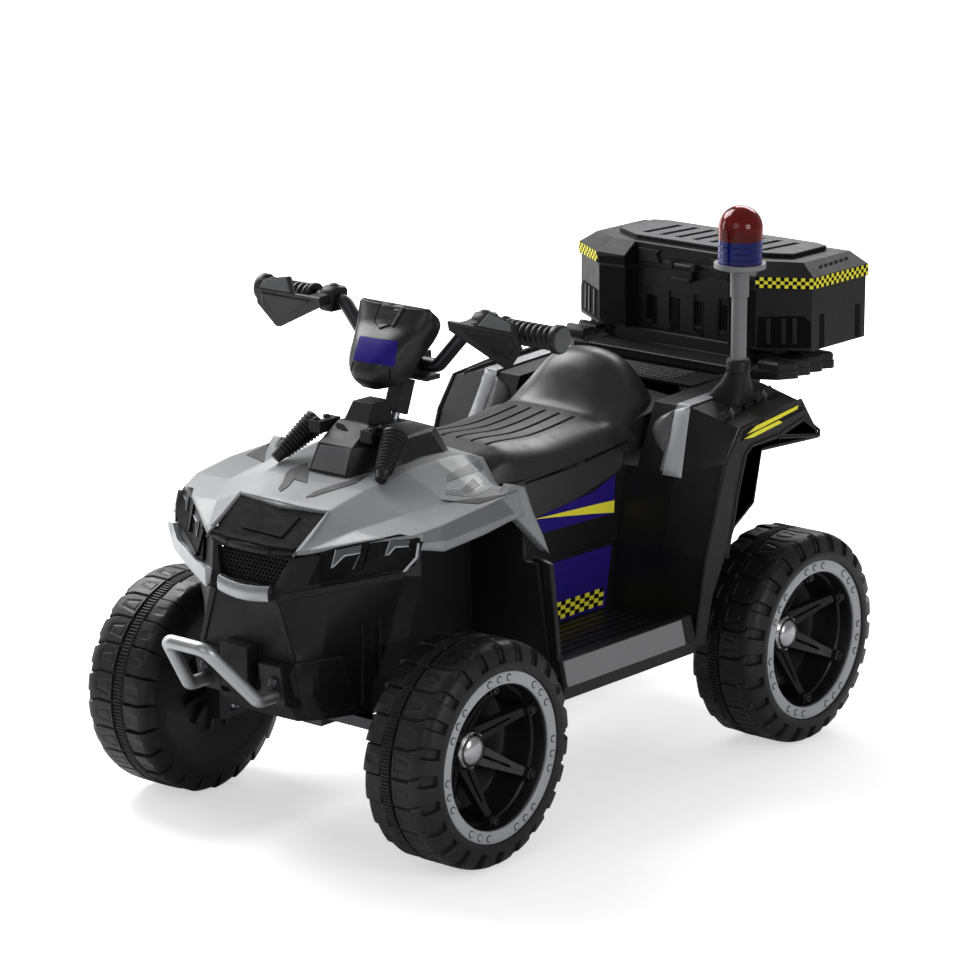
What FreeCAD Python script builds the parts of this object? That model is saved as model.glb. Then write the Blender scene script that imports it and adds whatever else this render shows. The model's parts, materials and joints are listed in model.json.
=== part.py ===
import FreeCAD, Part
import math
import os

V = FreeCAD.Vector

# Kids ride-on quad bike. Millimetres, +Z up, ground at z = 0, forward is -Y, the rider's left is +X.
# The origin lies on the ground midway between the axles.

# Wheels and track
WHEEL_R = 140.0
TYRE_W = 109.0
TYRE_WALL = 4.5
WHEELBASE = 641.0
HALF_TRACK = 284.0
LUGS = 24
LUG_DEPTH = 5.0
RING_R = 105.9
RING_BORE = 90.0
RING_T = 4.0
RING_GROUPS = 7
SPOKES = 6
HUB_R = 20.0
DISH_R = 76.0
SPOKE_T = 7.0
SPOKE_LEAD = 10.0
HUB_FRONT = 58.0
CAP_R = 21.0
CAP_BASE = 7.0
CAP_RISE = 6.0
AXLE_D = 12.0
RUN_GAP = 0.05
SEAT_GAP = 0.3

# Body shell
WALL = 4.0
TUNNEL_X = 96.0
NOSE_X = 91.7
NOSE_Y = -338.0
TUB_BOTTOM = 150.0
FLOOR_Z = 195.0
FLOOR_T = 6.0
SILL_X = 241.0
MOUNT_X = 52.0
BUMPER_X = 56.0
BUMPER_Z = 208.0
BUMPER_ROOT = -463.0
BUMPER_R = 8.5
FIN_X = 182.0
SEAT_BASE = 398.0
DECK_Z = 463.0
DECK_T = 5.0
PILLAR_X = 172.0
TRIM_END = 314.0
RACK_T = 11.0
RACK_FRONT = 350.0
RACK_END = 478.0
TOOTH = 27.0

# Steering
KINGPIN_INSET = 19.0
KINGPIN_R = 5.0
ARM = 40.0
STEER_RAKE = 20.0
COLUMN_Y = -188.0
COLUMN_Z = 487.0
SHAFT_R = 6.0
SHAFT_FOOT = -378.0
SHAFT_ARM = -353.0
KNUCKLE_H = 24.0
BEAM_H = 14.0
LINK_Z = WHEEL_R - 14.0
LINK_PIN_R = 4.0
BAR_R = 9.0
BAR_BEND = 14.0
CLAMP_D = 18.0
CLAMP_H = 13.0
GRIP_R = 14.0
GRIP_IN = 152.0
GRIP_OUT = 245.0
GRIP_Y = -161.0
GRIP_Z = 616.0
PERCH_X = 123.0
PERCH_REAR = GRIP_Y + 16.0

# Dash pod and switches
POD_REAR = -168.0
POD_TOP = 628.0
POD_BASE = 534.0
SWITCH_X = 26.0
SWITCH_Z = 606.0
BUTTON_R = 8.0
ROCKER_PIN_R = 1.8
HORN_R = 7.0
HORN_Z = GRIP_Z + 4.0

# Drive
GEAR_TEETH = 48
PINION_TEETH = 12
GEAR_MODULE = 2.0
GEAR_W = 10.0
GEAR_INSET = 25.0
BACKLASH = 0.5
MOTOR_R = 14.0
MOTOR_L = 38.0

# Storage box
BOX_X = 196.0
BOX_FRONT = 382.0
BOX_SHOULDER = 423.0
BOX_REAR = 562.0
BOX_FRONT_X = 132.0
BOX_REAR_X = 168.0
BOX_Z = 494.0
BOX_H = 83.0
LID_SIDE = 16.0
LID_RISE = 16.0
LID_INSET = 24.0
LID_OVERHANG = 3.0
LID_PANEL = 6.0
HINGE_R = 5.0
PIN_R = 2.5
RECESS_X = 86.0
RECESS_D = 24.0

# Beacon
BEACON_X = 193.0
BEACON_Y = 264.0
BEACON_TOP = 712.0
DOME_R = 28.5
LENS_T = 2.0
POLE_R = 10.0
POLE_BASE = 511.0

BOOT_R = 15.5
BOOT_FOOT = V(86, -318, 446)
BOOT_HEAD = V(64, -276, 488)

BOX_SEAM = BOX_Z + BOX_H
LID_RIM = BOX_SEAM + LID_SIDE
LID_Z = LID_RIM + LID_RISE
AXLE_R = AXLE_D / 2
AXLE_Y = WHEELBASE / 2
AXLE_Z = WHEEL_R
WHEEL_IN = HALF_TRACK - TYRE_W
KINGPIN_X = WHEEL_IN - KINGPIN_INSET
GEAR_X = WHEEL_IN - GEAR_INSET
GEAR_PITCH = GEAR_TEETH * GEAR_MODULE / 2
PINION_PITCH = PINION_TEETH * GEAR_MODULE / 2
PINION_ANGLE = math.radians(135)
PINION_Y = AXLE_Y + (GEAR_PITCH + PINION_PITCH) * math.cos(PINION_ANGLE)
PINION_Z = AXLE_Z + (GEAR_PITCH + PINION_PITCH) * math.sin(PINION_ANGLE)
RAKE = math.radians(STEER_RAKE)
COLUMN_DIR = V(0, math.sin(RAKE), math.cos(RAKE))


# Helpers

def vec(point):
    return V(*point)


def outline(points):
    return Part.makePolygon([vec(p) for p in points] + [vec(points[0])])


def prism(points, along):
    return Part.Face(outline(points)).extrude(vec(along))


def slab_x(yz, x0, x1):
    return prism([(x0, y, z) for y, z in yz], (x1 - x0, 0, 0))


def slab_y(xz, y0, y1):
    return prism([(x, y0, z) for x, z in xz], (0, y1 - y0, 0))


def slab_z(xy, z0, z1):
    return prism([(x, y, z0) for x, y in xy], (0, 0, z1 - z0))


def block(x0, x1, y0, y1, z0, z1):
    return Part.makeBox(x1 - x0, y1 - y0, z1 - z0, V(x0, y0, z0))


def rod(start, end, radius):
    a = vec(start)
    d = vec(end) - a
    return Part.makeCylinder(radius, d.Length, a, d)


def cone(start, end, r0, r1):
    a = vec(start)
    d = vec(end) - a
    return Part.makeCone(r0, r1, d.Length, a, d)


def skin(sections):
    return Part.makeLoft([outline(s) for s in sections], True, True)


def flip(shape):
    return shape.mirror(V(0, 0, 0), V(1, 0, 0))


def group(shapes):
    return Part.makeCompound(shapes)


def both(shape):
    return group([shape, flip(shape)])


def lathe(profile, origin, axis):
    # profile holds (distance along the axis, radius)
    d = vec(axis).normalize()
    side = V(0, 0, 1) if abs(d.z) < 0.9 else V(0, 1, 0)
    side = (side - d * side.dot(d)).normalize()
    face = Part.Face(outline([tuple(vec(origin) + d * a + side * r) for a, r in profile]))
    return face.revolve(vec(origin), d, 360)


def fused(shapes):
    result = shapes[0].fuse(shapes[1:]) if len(shapes) > 1 else shapes[0]
    return result.removeSplitter()


def tube(points, radius, bend, wall=0.0):
    # straight runs joined by tangent arcs
    pts = [vec(p) for p in points]
    edges = []
    start = pts[0]
    for i in range(1, len(pts) - 1):
        into = (pts[i] - pts[i - 1]).normalize()
        out = (pts[i + 1] - pts[i]).normalize()
        half = into.getAngle(out) / 2
        reach = bend * math.tan(half)
        a = pts[i] - into * reach
        b = pts[i] + out * reach
        inward = (out - into).normalize()
        mid = pts[i] + inward * (bend / math.cos(half) - bend)
        edges.append(Part.LineSegment(start, a).toShape())
        edges.append(Part.Arc(a, mid, b).toShape())
        start = b
    edges.append(Part.LineSegment(start, pts[-1]).toShape())
    path = Part.Wire(edges)
    along = pts[1] - pts[0]

    def sweep(r):
        circle = Part.Wire([Part.Circle(pts[0], along, r).toShape()])
        return path.makePipeShell([circle], True, False)

    solid = sweep(radius)
    return solid.cut(sweep(radius - wall)) if wall else solid


def band(half, inner):
    # closed section of a bent sheet: outer line across both sides, then the inner line back
    def across(line):
        return [(-x, y, z) for x, y, z in reversed(line[1:])] + list(line)
    return across(half) + across(inner)[::-1]


def on_column(s, across=0.0, ahead=0.0):
    # a point s along the steering column, across in X and ahead square to the column
    square = V(0, -math.cos(RAKE), math.sin(RAKE))
    return V(across, COLUMN_Y, COLUMN_Z) + COLUMN_DIR * s + square * ahead


# Wheels, drawn for the left side with the axle along X

def tyre(y):
    w = TYRE_W
    r = WHEEL_R
    bead_out = RING_R + SEAT_GAP
    bead_in = RING_R - 8 + SEAT_GAP
    t = TYRE_WALL
    outside = [(w - 1, bead_out), (w, bead_out + 2), (w, r - 22), (w - 3, r - 13), (w - 7, r - 4),
               (w - 13, r), (13, r), (7, r - 4), (3, r - 13), (0, r - 22), (0, bead_in)]
    inside = [(t, bead_in), (t, r - 23), (t + 3, r - 15), (t + 7, r - 9), (t + 12, r - LUG_DEPTH - 1.5),
              (w - t - 12, r - LUG_DEPTH - 1.5), (w - t - 7, r - 9), (w - t - 3, r - 15),
              (w - t, r - 23), (w - t, bead_out)]
    body = lathe(outside + inside, (WHEEL_IN, y, AXLE_Z), (1, 0, 0))
    notches = []
    pitch = 360.0 / LUGS
    for i in range(LUGS):
        for x0, x1, turn in ((-2, 26, 0.0), (w - 26, w + 2, pitch / 2)):
            top = AXLE_Z + r
            cut = block(WHEEL_IN + x0, WHEEL_IN + x1, y - 5.5, y + 5.5, top - LUG_DEPTH, top + 2)
            cut.rotate(V(0, y, AXLE_Z), V(1, 0, 0), i * pitch + turn)
            notches.append(cut)
    return body.cut(notches)


def rim(y):
    bore = AXLE_R + RUN_GAP
    flange = TYRE_W - 2 - RING_T
    bead = RING_R - 8
    profile = [(flange, RING_R), (flange, RING_BORE), (50, DISH_R), (40, DISH_R - 6), (40, HUB_R),
               (HUB_FRONT, HUB_R), (HUB_FRONT, bore), (10, bore), (10, HUB_R), (36, HUB_R), (36, DISH_R),
               (4, DISH_R), (4, bead), (8, bead), (8, DISH_R + 4), (50, DISH_R + 4),
               (flange - 3, RING_BORE + 4), (flange - 3, RING_R)]
    body = lathe(profile, (WHEEL_IN, y, AXLE_Z), (1, 0, 0))
    low = AXLE_Z + HUB_R - 3
    high = AXLE_Z + RING_BORE - 2
    hub_x = WHEEL_IN + HUB_FRONT - CAP_BASE
    rim_x = WHEEL_IN + flange - SPOKE_LEAD
    ends = []
    for x, z, half in ((hub_x, low, 14.0), (rim_x, high, 7.0)):
        back = x - SPOKE_T
        ends.append([(x, y - half, z), (x, y + half, z), (back, y + half, z), (back, y - half, z)])
    split = slab_x([(y - 3, low + 9), (y + 3, low + 9), (y + 1, high - 20), (y - 1, high - 20)],
                   hub_x - SPOKE_T - 1, rim_x)
    arm = skin(ends).cut(split)
    spokes = []
    for i in range(SPOKES):
        spoke = arm.copy()
        spoke.rotate(V(0, y, AXLE_Z), V(1, 0, 0), i * 360.0 / SPOKES)
        spokes.append(spoke)
    return fused([body] + spokes)


def wheel_trim(y):
    face = TYRE_W - 2
    ring = lathe([(face - RING_T, RING_BORE), (face - RING_T, RING_R), (face, RING_R), (face, RING_BORE)],
                 (WHEEL_IN, y, AXLE_Z), (1, 0, 0))
    pieces = [ring]
    bolt_circle = (RING_BORE + RING_R) / 2
    for i in range(RING_GROUPS):
        for step in (-7.5, 0.0, 7.5):
            a = math.radians(i * 360.0 / RING_GROUPS + step)
            at = (WHEEL_IN + face, y + bolt_circle * math.cos(a), AXLE_Z + bolt_circle * math.sin(a))
            pieces.append(rod(at, (at[0] + 1.6, at[1], at[2]), 2.6))
    back = WHEEL_IN + HUB_FRONT
    hexagon = []
    for i in range(6):
        a = math.radians(60 * i + 30)
        hexagon.append((back, y + CAP_R * math.cos(a), AXLE_Z + CAP_R * math.sin(a)))
    base = prism(hexagon, (CAP_BASE, 0, 0))
    pocket = rod((back - 1, y, AXLE_Z), (back + CAP_BASE - 2, y, AXLE_Z), AXLE_R + 6)
    front = back + CAP_BASE
    dome = cone((front, y, AXLE_Z), (front + CAP_RISE, y, AXLE_Z), CAP_R - 3.5, CAP_R - 11)
    pieces.append(fused([base, dome]).cut(pocket))
    return group(pieces)


# Front axle and steering linkage

def front_axle_beam():
    # slim bar under the nose with a fork for each kingpin and a foot bearing for the steering shaft
    y = -AXLE_Y
    front = y - 34
    back = y - 15
    top = TUB_BOTTOM + 10
    beam = block(-KINGPIN_X + 4, KINGPIN_X - 4, front, back, top - BEAM_H, top)
    ears = []
    for side in (-1, 1):
        x = side * KINGPIN_X
        for z in (AXLE_Z - KNUCKLE_H - 8, AXLE_Z + KNUCKLE_H):
            ear = block(x - 11, x + 11, front, y + 11, z, z + 8)
            ears.append(ear.cut(rod((x, y, z - 1), (x, y, z + 9), KINGPIN_R + RUN_GAP)))
        ears.append(block(x - 11, x + 11, front, back, AXLE_Z - KNUCKLE_H - 8, AXLE_Z + KNUCKLE_H + 8))
    foot = on_column(SHAFT_FOOT)
    bearing = block(-15, 15, back - 1, foot.y + 15, foot.z - 2, foot.z + 10)
    post = block(-15, 15, back - 8, back, foot.z - 2, top)
    shaft = rod(on_column(SHAFT_FOOT - 20), on_column(0), SHAFT_R + RUN_GAP)
    return fused([beam, fused([bearing, post]).cut(shaft)] + ears)


def knuckle():
    y = -AXLE_Y
    x = KINGPIN_X
    half = KNUCKLE_H - SEAT_GAP
    end = WHEEL_IN + HUB_FRONT
    pin = rod((x, y, AXLE_Z - KNUCKLE_H - 8), (x, y, AXLE_Z + KNUCKLE_H + 8), KINGPIN_R)
    barrel = rod((x, y, AXLE_Z - half), (x, y, AXLE_Z + half), 10)
    stub = rod((x, y, AXLE_Z), (end + SEAT_GAP, y, AXLE_Z), AXLE_R)
    shoulder = rod((x, y, AXLE_Z), (WHEEL_IN + 10 - SEAT_GAP, y, AXLE_Z), AXLE_R + 3)
    nut = rod((end + SEAT_GAP, y, AXLE_Z), (end + 4, y, AXLE_Z), AXLE_R + 4)
    arm = block(x - 8, x + 8, y, y + ARM + 8, AXLE_Z - 20, LINK_Z - SEAT_GAP)
    link = rod((x, y + ARM, AXLE_Z - 20), (x, y + ARM, LINK_Z + 10), LINK_PIN_R)
    return fused([pin, barrel, stub, shoulder, nut, arm, link])


def pitman_pin(z):
    # centre of the drop arm pin where it passes height z
    top = on_column(SHAFT_ARM, 0, -ARM)
    return top - COLUMN_DIR * ((top.z - z) / COLUMN_DIR.z)


def tie_rod():
    y = -AXLE_Y + ARM
    z0 = LINK_Z
    z1 = z0 + 5
    centre = pitman_pin(z0 + 2.5).y - 1.2
    play = LINK_PIN_R + 0.8
    bar = block(-KINGPIN_X - 12, KINGPIN_X + 12, y - 13, y + 9, z0, z1)
    lug = block(-14, 14, y, centre + 16, z0, z1)
    slots = [block(x - play, x + play, at - reach, at + reach, z0 - 1, z1 + 1)
             for x, at, reach in ((-KINGPIN_X, y - 1.5, 6.2), (KINGPIN_X, y - 1.5, 6.2), (0, centre, 7.0))]
    return fused([bar, lug]).cut(slots)


def steering_shaft():
    # shaft from the foot bearing up to the bar clamp, with a drop arm whose pin moves the tie rod
    s = SHAFT_ARM
    front = SHAFT_R + 0.9
    shaft = rod(on_column(SHAFT_FOOT), on_column(62), SHAFT_R)
    drop_arm = prism([on_column(s - 5, -9, front), on_column(s - 5, 9, front), on_column(s - 5, 8, -ARM - 8),
                      on_column(s - 5, -8, -ARM - 8)], tuple(COLUMN_DIR * 5))
    pin = rod(on_column(s, 0, -ARM), on_column(s - 27, 0, -ARM), LINK_PIN_R)
    collar = rod(on_column(-37), on_column(-28), SHAFT_R + 5)
    return fused([shaft, drop_arm, pin, collar])


def column_sleeve():
    w = 11
    body = prism([on_column(8, -w, w), on_column(8, w, w), on_column(8, w, -w), on_column(8, -w, -w)],
                 tuple(COLUMN_DIR * 44))
    return body.cut(rod(on_column(0), on_column(70), SHAFT_R))


def bar_clamp():
    mid = on_column(74)
    body = block(-24, 24, mid.y - CLAMP_D, mid.y + CLAMP_D, mid.z - 20, mid.z + CLAMP_H)
    plate = block(-40, 40, mid.y - 16, mid.y + 16, mid.z - 20, mid.z - 14)
    sleeve_end = prism([on_column(30, a, b) for a, b in ((-60, 60), (60, 60), (60, -60), (-60, -60))],
                       tuple(COLUMN_DIR * 22))
    bar = rod((-60, mid.y, mid.z), (60, mid.y, mid.z), BAR_R)
    return fused([body, plate]).cut([sleeve_end, bar, rod(on_column(40), on_column(62), SHAFT_R)])


def bar_points():
    mid = on_column(74)
    left = [(50, mid.y, mid.z), (104, GRIP_Y, GRIP_Z), (GRIP_OUT - 4, GRIP_Y, GRIP_Z)]
    return [(-x, y, z) for x, y, z in reversed(left)] + left


def handlebar():
    return tube(bar_points(), BAR_R, BAR_BEND, 2.0)


def grip():
    # ribbed rubber sleeve with a round end flange
    ribs = 8
    length = GRIP_OUT - GRIP_IN
    pitch = (length - 22) / ribs
    profile = [(0, BAR_R), (0, GRIP_R + 3), (5, GRIP_R + 3), (6, GRIP_R - 1)]
    for i in range(ribs):
        a = 8 + i * pitch
        b = a + pitch
        profile += [(a, GRIP_R - 1), (a + 1.5, GRIP_R + 1), (b - 3, GRIP_R + 1), (b - 1.5, GRIP_R - 1)]
    profile += [(length - 12, GRIP_R - 1), (length - 11, GRIP_R + 4), (length - 2, GRIP_R + 4),
                (length, GRIP_R + 2), (length, 0), (length - 4, 0), (length - 4, BAR_R)]
    return lathe(profile, (GRIP_IN, GRIP_Y, GRIP_Z), (1, 0, 0))


def lever_perch():
    # clamp block round the bar inboard of the grip, with a round knob on top
    body = block(PERCH_X - 11, PERCH_X + 11, GRIP_Y - 16, PERCH_REAR, GRIP_Z - 12, GRIP_Z + 20)
    knob = lathe([(0, 0), (0, 9), (5, 10), (9, 8), (9, 0)], (PERCH_X, GRIP_Y, GRIP_Z + 20), (0, 0, 1))
    return fused([body, knob]).cut(tube(bar_points(), BAR_R, BAR_BEND))


def hand_guard():
    # bent plate in front of the grip: upper facet leaning back over a lower facet that tapers to a tip
    lower = [(104, -209, 627), (211, -209, 627), (214, -203, 606), (190, -193, 579), (182, -193, 579),
             (104, -205, 616)]
    upper = [(145, -209, 627), (160, -201, 647), (206, -205, 638), (211, -209, 626)]
    sheet = 4.0

    def plate(points):
        a, b, c = (vec(p) for p in points[:3])
        normal = (b - a).cross(c - a).normalize()
        if normal.y < 0:
            normal = normal * -1
        flat = [vec(p) - normal * (vec(p) - a).dot(normal) for p in points]
        return Part.Face(outline([tuple(p) for p in flat])).extrude(normal * sheet)

    stay = block(PERCH_X - 9, PERCH_X + 9, GRIP_Y - 44, GRIP_Y - 16 - RUN_GAP, GRIP_Z - 2, GRIP_Z + 10)
    shell = fused([plate(lower), plate(upper), stay])
    return shell


def pod_sections(inset):
    w = inset
    rows = [(POD_BASE, 18, -236, -206), (545, 30, -246, -196), (565, 40, -246, -186),
            (590, 50, -228, POD_REAR), (612, 58, -202, POD_REAR), (POD_TOP, 58, -186, POD_REAR)]
    sections = []
    for z, half, front, back in rows:
        h = half - w
        f = front + w
        b = back - w
        corner = f + 12 - w
        sections.append([(-h, b, z), (-h, corner, z), (-h * 0.55, f, z), (h * 0.55, f, z), (h, corner, z),
                         (h, b, z)])
    return sections


def dash_pod():
    outer = skin(pod_sections(0.0))
    hollow = skin([[(x, y, min(max(z, POD_BASE + WALL), POD_TOP - WALL)) for x, y, z in s]
                   for s in pod_sections(WALL)])
    clamp_face = on_column(74).y - CLAMP_D
    shelf = block(-20, 20, -243, clamp_face, 550, 562)
    shell = outer.cut([hollow, bar_clamp_space(), button_well(), rocker_well(),
                       rocker_pin(ROCKER_PIN_R + RUN_GAP)])
    return fused([shell, shelf])


def bar_clamp_space():
    mid = on_column(74)
    return block(-70, 70, mid.y - CLAMP_D - SEAT_GAP, mid.y + 60, mid.z - 60, mid.z + CLAMP_H + SEAT_GAP)


# Switches: power button and direction rocker on the rear face of the pod, horn button on the left perch

def button_well():
    return rod((-SWITCH_X, POD_REAR - 12, SWITCH_Z), (-SWITCH_X, POD_REAR + 5, SWITCH_Z), BUTTON_R + SEAT_GAP)


def rocker_well():
    return block(SWITCH_X - 14, SWITCH_X + 14, POD_REAR - 12, POD_REAR + 5, SWITCH_Z - 8.5, SWITCH_Z + 8.5)


def horn_well():
    return rod((PERCH_X, PERCH_REAR - 5, HORN_Z), (PERCH_X, PERCH_REAR + 1, HORN_Z), HORN_R + SEAT_GAP)


def power_button():
    stem = rod((-SWITCH_X, POD_REAR - 6, SWITCH_Z), (-SWITCH_X, POD_REAR + 4, SWITCH_Z), BUTTON_R)
    flange = rod((-SWITCH_X, POD_REAR - WALL - 2.5, SWITCH_Z), (-SWITCH_X, POD_REAR - WALL - 0.5, SWITCH_Z),
                 BUTTON_R + 3)
    return fused([stem, flange])


def direction_rocker():
    x = SWITCH_X
    y = POD_REAR
    top = [(x - 12.5, y + 1), (x, y + 3), (x + 12.5, y + 1), (x + 8, y - 5), (x - 8, y - 5)]
    return fused([slab_z(top, SWITCH_Z - 8, SWITCH_Z + 8), rocker_pin(ROCKER_PIN_R)])


def rocker_pin(radius):
    y = POD_REAR - 3
    return rod((SWITCH_X, y, SWITCH_Z - 11), (SWITCH_X, y, SWITCH_Z + 11), radius)


def horn_button():
    return rod((PERCH_X, PERCH_REAR - 1.5, HORN_Z), (PERCH_X, PERCH_REAR + 5, HORN_Z), HORN_R)


# Front body

HOOD_ROWS = [
    (-452, (0, 386), (62, 384), (74, 380), (92, 380), (93, 374)),
    (-390, (0, 424), (70, 421), (112, 404), (178, 402), (180, 394)),
    (-334, (0, 436), (78, 437), (140, 416), (199, 413), (206, 384)),
    (-266, (0, 446), (86, 448), (152, 421), (203, 422), (210, 391)),
    (-213, (0, 450), (90, 453), (156, 424), (200, 426), (208, 397)),
    (-188, (0, 448), (90, 453), (150, 423), (198, 428), (204, 396)),
    (-164, (0, 447), (89, 451), (140, 420), (188, 424), (192, 394)),
    (-145, (0, 445), (86, 447), (112, 410), (122, 402), (124, 394)),
    (-100, (0, 437), (70, 432), (90, 404), (95, 400), (96, 394)),
]


def front_cowl():
    sections = []
    for y, a, b, d, e, f in HOOD_ROWS:
        half = [(x, y, z) for x, z in (a, b, d, e, f)]
        inner = [(a[0], y, a[1] - WALL), (b[0] - 1, y, b[1] - WALL), (d[0] - 1, y, d[1] - WALL),
                 (e[0] - WALL, y, e[1] - WALL), (f[0] - WALL, y, f[1])]
        sections.append(band(half, inner))
    hood = skin(sections)
    swept = []
    for side in (-1, 1):
        plan = ((70.7, -448), (300, -288), (300, -560), (70.7, -560))
        swept.append(slab_z([(side * x, y) for x, y in plan], 300, 520))
    notch = slab_z([(-70, -390), (0, -398), (70, -390), (70.7, -470), (-70.7, -470)], 300, 520)
    tail = slab_x(FENDER_TAIL, FIN_X, FIN_X + 14)
    hood = hood.cut(swept + [notch, pedestal_outer(SEAT_GAP)])
    hood = hood.cut([front_fascia(), badge_panel()] + headlights().Solids)
    hood = max(hood.Solids, key=lambda solid: solid.Volume)
    return fused([hood, tail, flip(tail)])


# Rear fin of each front fender as (y, z), from its top down to the tip and back along the arch
FENDER_TAIL = [(-210, 423), (-195, 436), (-172, 429), (-157, 396), (-136, 360), (-124, 335), (-186, 391)]

FASCIA_LOW = [
    [(0, -432, 166), (56, -430, 166), (76, -404, 166), (98, -345, 166), (98, -304, 166)],
    [(0, -466, 206), (60, -464, 206), (82, -436, 206), (102, -345, 206), (102, -300, 206)],
    [(0, -460, 252), (79, -456, 252), (92, -425, 252), (116, -335, 252), (116, -294, 252)],
    [(0, -458, 323), (54, -461, 323), (110, -430, 339), (187, -386, 361), (185, -352, 354)],
]


def fascia_top(x, y):
    return (x, y, 374 + 0.312 * (y + 444))


def fascia_sections():
    rows = [(half, [(max(x - 6, 0), y + 6, z) for x, y, z in half]) for half in FASCIA_LOW]
    top = [(0, -444), (67, -444), (124, -405), (188, -362), (187, -358)]
    rows.append(([fascia_top(x, y) for x, y in top], [fascia_top(max(x - 6, 0), y + 6) for x, y in top]))
    return rows


def grille_mouth(gap):
    low = 44 - gap
    high = 58 - gap
    return slab_y([(-low, 336 + gap), (low, 336 + gap), (high, 370 - gap), (-high, 370 - gap)], -500, -400)


def front_fascia():
    wall = skin([band(half, inner) for half, inner in fascia_sections()])
    mouth = grille_mouth(0.0)
    skid = slab_x([(-482, 262), (-455, 266), (-455, 205), (-482, 209)], -22, 22)
    mounts = both(slab_x([(-476, 246), (-452, 250), (-440, 186), (-468, 196)], MOUNT_X - 18, MOUNT_X + 18))
    sockets = both(rod((BUMPER_X, BUMPER_ROOT, BUMPER_Z), (BUMPER_X, -500, BUMPER_Z), BUMPER_R))
    return fused([wall.cut(mouth), skid] + mounts.Solids).cut(sockets)


def lamp_face(u, v):
    # point on the headlight face: u runs outward, v up from the trim line to the hood edge
    low = [vec(p) for p in FASCIA_LOW[3][1:4]]
    high = [vec(fascia_top(x, y)) for x, y in ((67, -444), (124, -405), (188, -362))]

    def along(line):
        t = u * 2
        i = 0 if t < 1 else 1
        return line[i] + (line[i + 1] - line[i]) * (t - i)

    return along(low) * (1 - v) + along(high) * v


LAMP_OUT = V(0.46, -0.84, 0.28)


def lamp_strip(u_list, v0, v1, lift, thick):
    sections = []
    for u in u_list:
        a = lamp_face(u, v0)
        b = lamp_face(u, v1)
        sections.append([tuple(a + LAMP_OUT * lift), tuple(b + LAMP_OUT * lift),
                         tuple(b + LAMP_OUT * (lift + thick)), tuple(a + LAMP_OUT * (lift + thick))])
    return skin(sections)


def headlights():
    return both(lamp_strip([0.24, 0.5, 1.05], 0.26, 0.96, 0.4, 3.0))


def chin_trim():
    side = lamp_strip([0.0, 0.5, 1.0], -0.12, 0.22, 0.4, 4.0)
    bar = slab_y([(-38, 325), (38, 325), (40, 335), (-40, 335)], -468, -460.5)
    return group([bar, side, flip(side)])


def grille_mesh():
    plate = slab_x([(-449, 330), (-445, 330), (-433, 376), (-437, 376)], -60, 60)
    holes = []
    for row in range(3):
        count = 9 if row % 2 else 10
        for i in range(count):
            x = (i - (count - 1) / 2) * 9.5
            holes.append(rod((x, -480, 343 + row * 10), (x, -400, 343 + row * 10), 3.4))
    return plate.common(grille_mouth(SEAT_GAP)).cut(holes)


def badge_panel():
    # sloping panel between the hood edges, over a curved brow bar
    plate = slab_x([(-394, 417), (-445, 381), (-444, 376), (-394, 412)], -68, 68)
    brow = slab_z([(-66, -440), (-66, -447), (-34, -454), (34, -454), (66, -447), (66, -440)], 375.6, 386)
    return fused([plate, brow.cut(slab_x([(-360, 441), (-444, 381), (-360, 381)], -70, 70))])


def bumper_bar():
    x = BUMPER_X
    left = [(x, BUMPER_ROOT, BUMPER_Z), (x, -500, BUMPER_Z), (31, -562.5, 281)]
    points = [(-x, y, z) for x, y, z in left] + left[::-1]
    return tube(points, BUMPER_R, 13, 2.0)


def body_bolts():
    pieces = []
    for side in (-1, 1):
        x = side * BUMPER_X
        pieces.append(cone((x, -472.8, 226), (x, -480.7, 224.7), 7, 4).cut(front_fascia()))
        for y in (-281, -262):
            pieces.append(cone((side * 45, y, 496), (side * 45, y, 500), 4.5, 3))
    return group(pieces)


def mirrored(half, z):
    # closed outline at height z from its left half, listed from the front back
    return [(-x, y, z) for x, y in reversed(half)] + [(x, y, z) for x, y in half]


def pedestal_outer(gap):
    g = gap
    foot = [(32 + g, -318 - g), (80 + g, -225), (80 + g, -160), (46 + g, -124 + g)]
    waist = [(27 + g, -297 - g), (46 + g, -255), (44 + g, -170), (30 + g, -146 + g)]
    return skin([mirrored(foot, 425), mirrored(waist, 474)])


def steering_pedestal():
    # hollow faceted tower with a post in front of the column and a wing over each boot
    crown = [(25, -262), (30, -240), (22, -178)]
    top = skin([mirrored([(27, -297), (46, -255), (30, -146)], 474),
                [(x, y, 496 - 0.12 * (y + 262)) for x, y, z in mirrored(crown, 0)]])
    post = skin([mirrored([(20, -262), (20, -214)], 490), mirrored([(16, -246), (16, -214)], 518)])
    wings = both(block(33, 57, -288, -250, 481, 496)).Solids
    hollow = skin([mirrored([(27, -312), (75, -222), (75, -163), (42, -129)], 424),
                   mirrored([(22, -291), (40, -252), (39, -172), (26, -151)], 470)])
    shaft = rod(on_column(-120), on_column(60), SHAFT_R + SEAT_GAP)
    axis = (BOOT_HEAD - BOOT_FOOT).normalize()
    seats = both(rod(tuple(BOOT_FOOT), tuple(BOOT_HEAD + axis * 20), BOOT_R + 2))
    return fused([pedestal_outer(0.0), top, post] + wings).cut([hollow, shaft, seats])


def boot():
    # tapered bellows from the hood up to the pedestal wing
    axis = BOOT_HEAD - BOOT_FOOT
    length = axis.Length
    ribs = 9
    pitch = (length - 10) / ribs

    def radius(a):
        return BOOT_R - 7.0 + 7.0 * a / length

    profile = [(0, 4), (0, 8), (8, 9)]
    for i in range(ribs):
        a = 8 + i * pitch
        profile += [(a + 0.25 * pitch, radius(a) + 2.0), (a + 0.6 * pitch, radius(a) + 2.0),
                    (a + 0.85 * pitch, radius(a) - 0.5)]
    profile += [(length, radius(length)), (length, 6)]
    return lathe(profile, tuple(BOOT_FOOT), tuple(axis))


# Centre body

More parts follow.
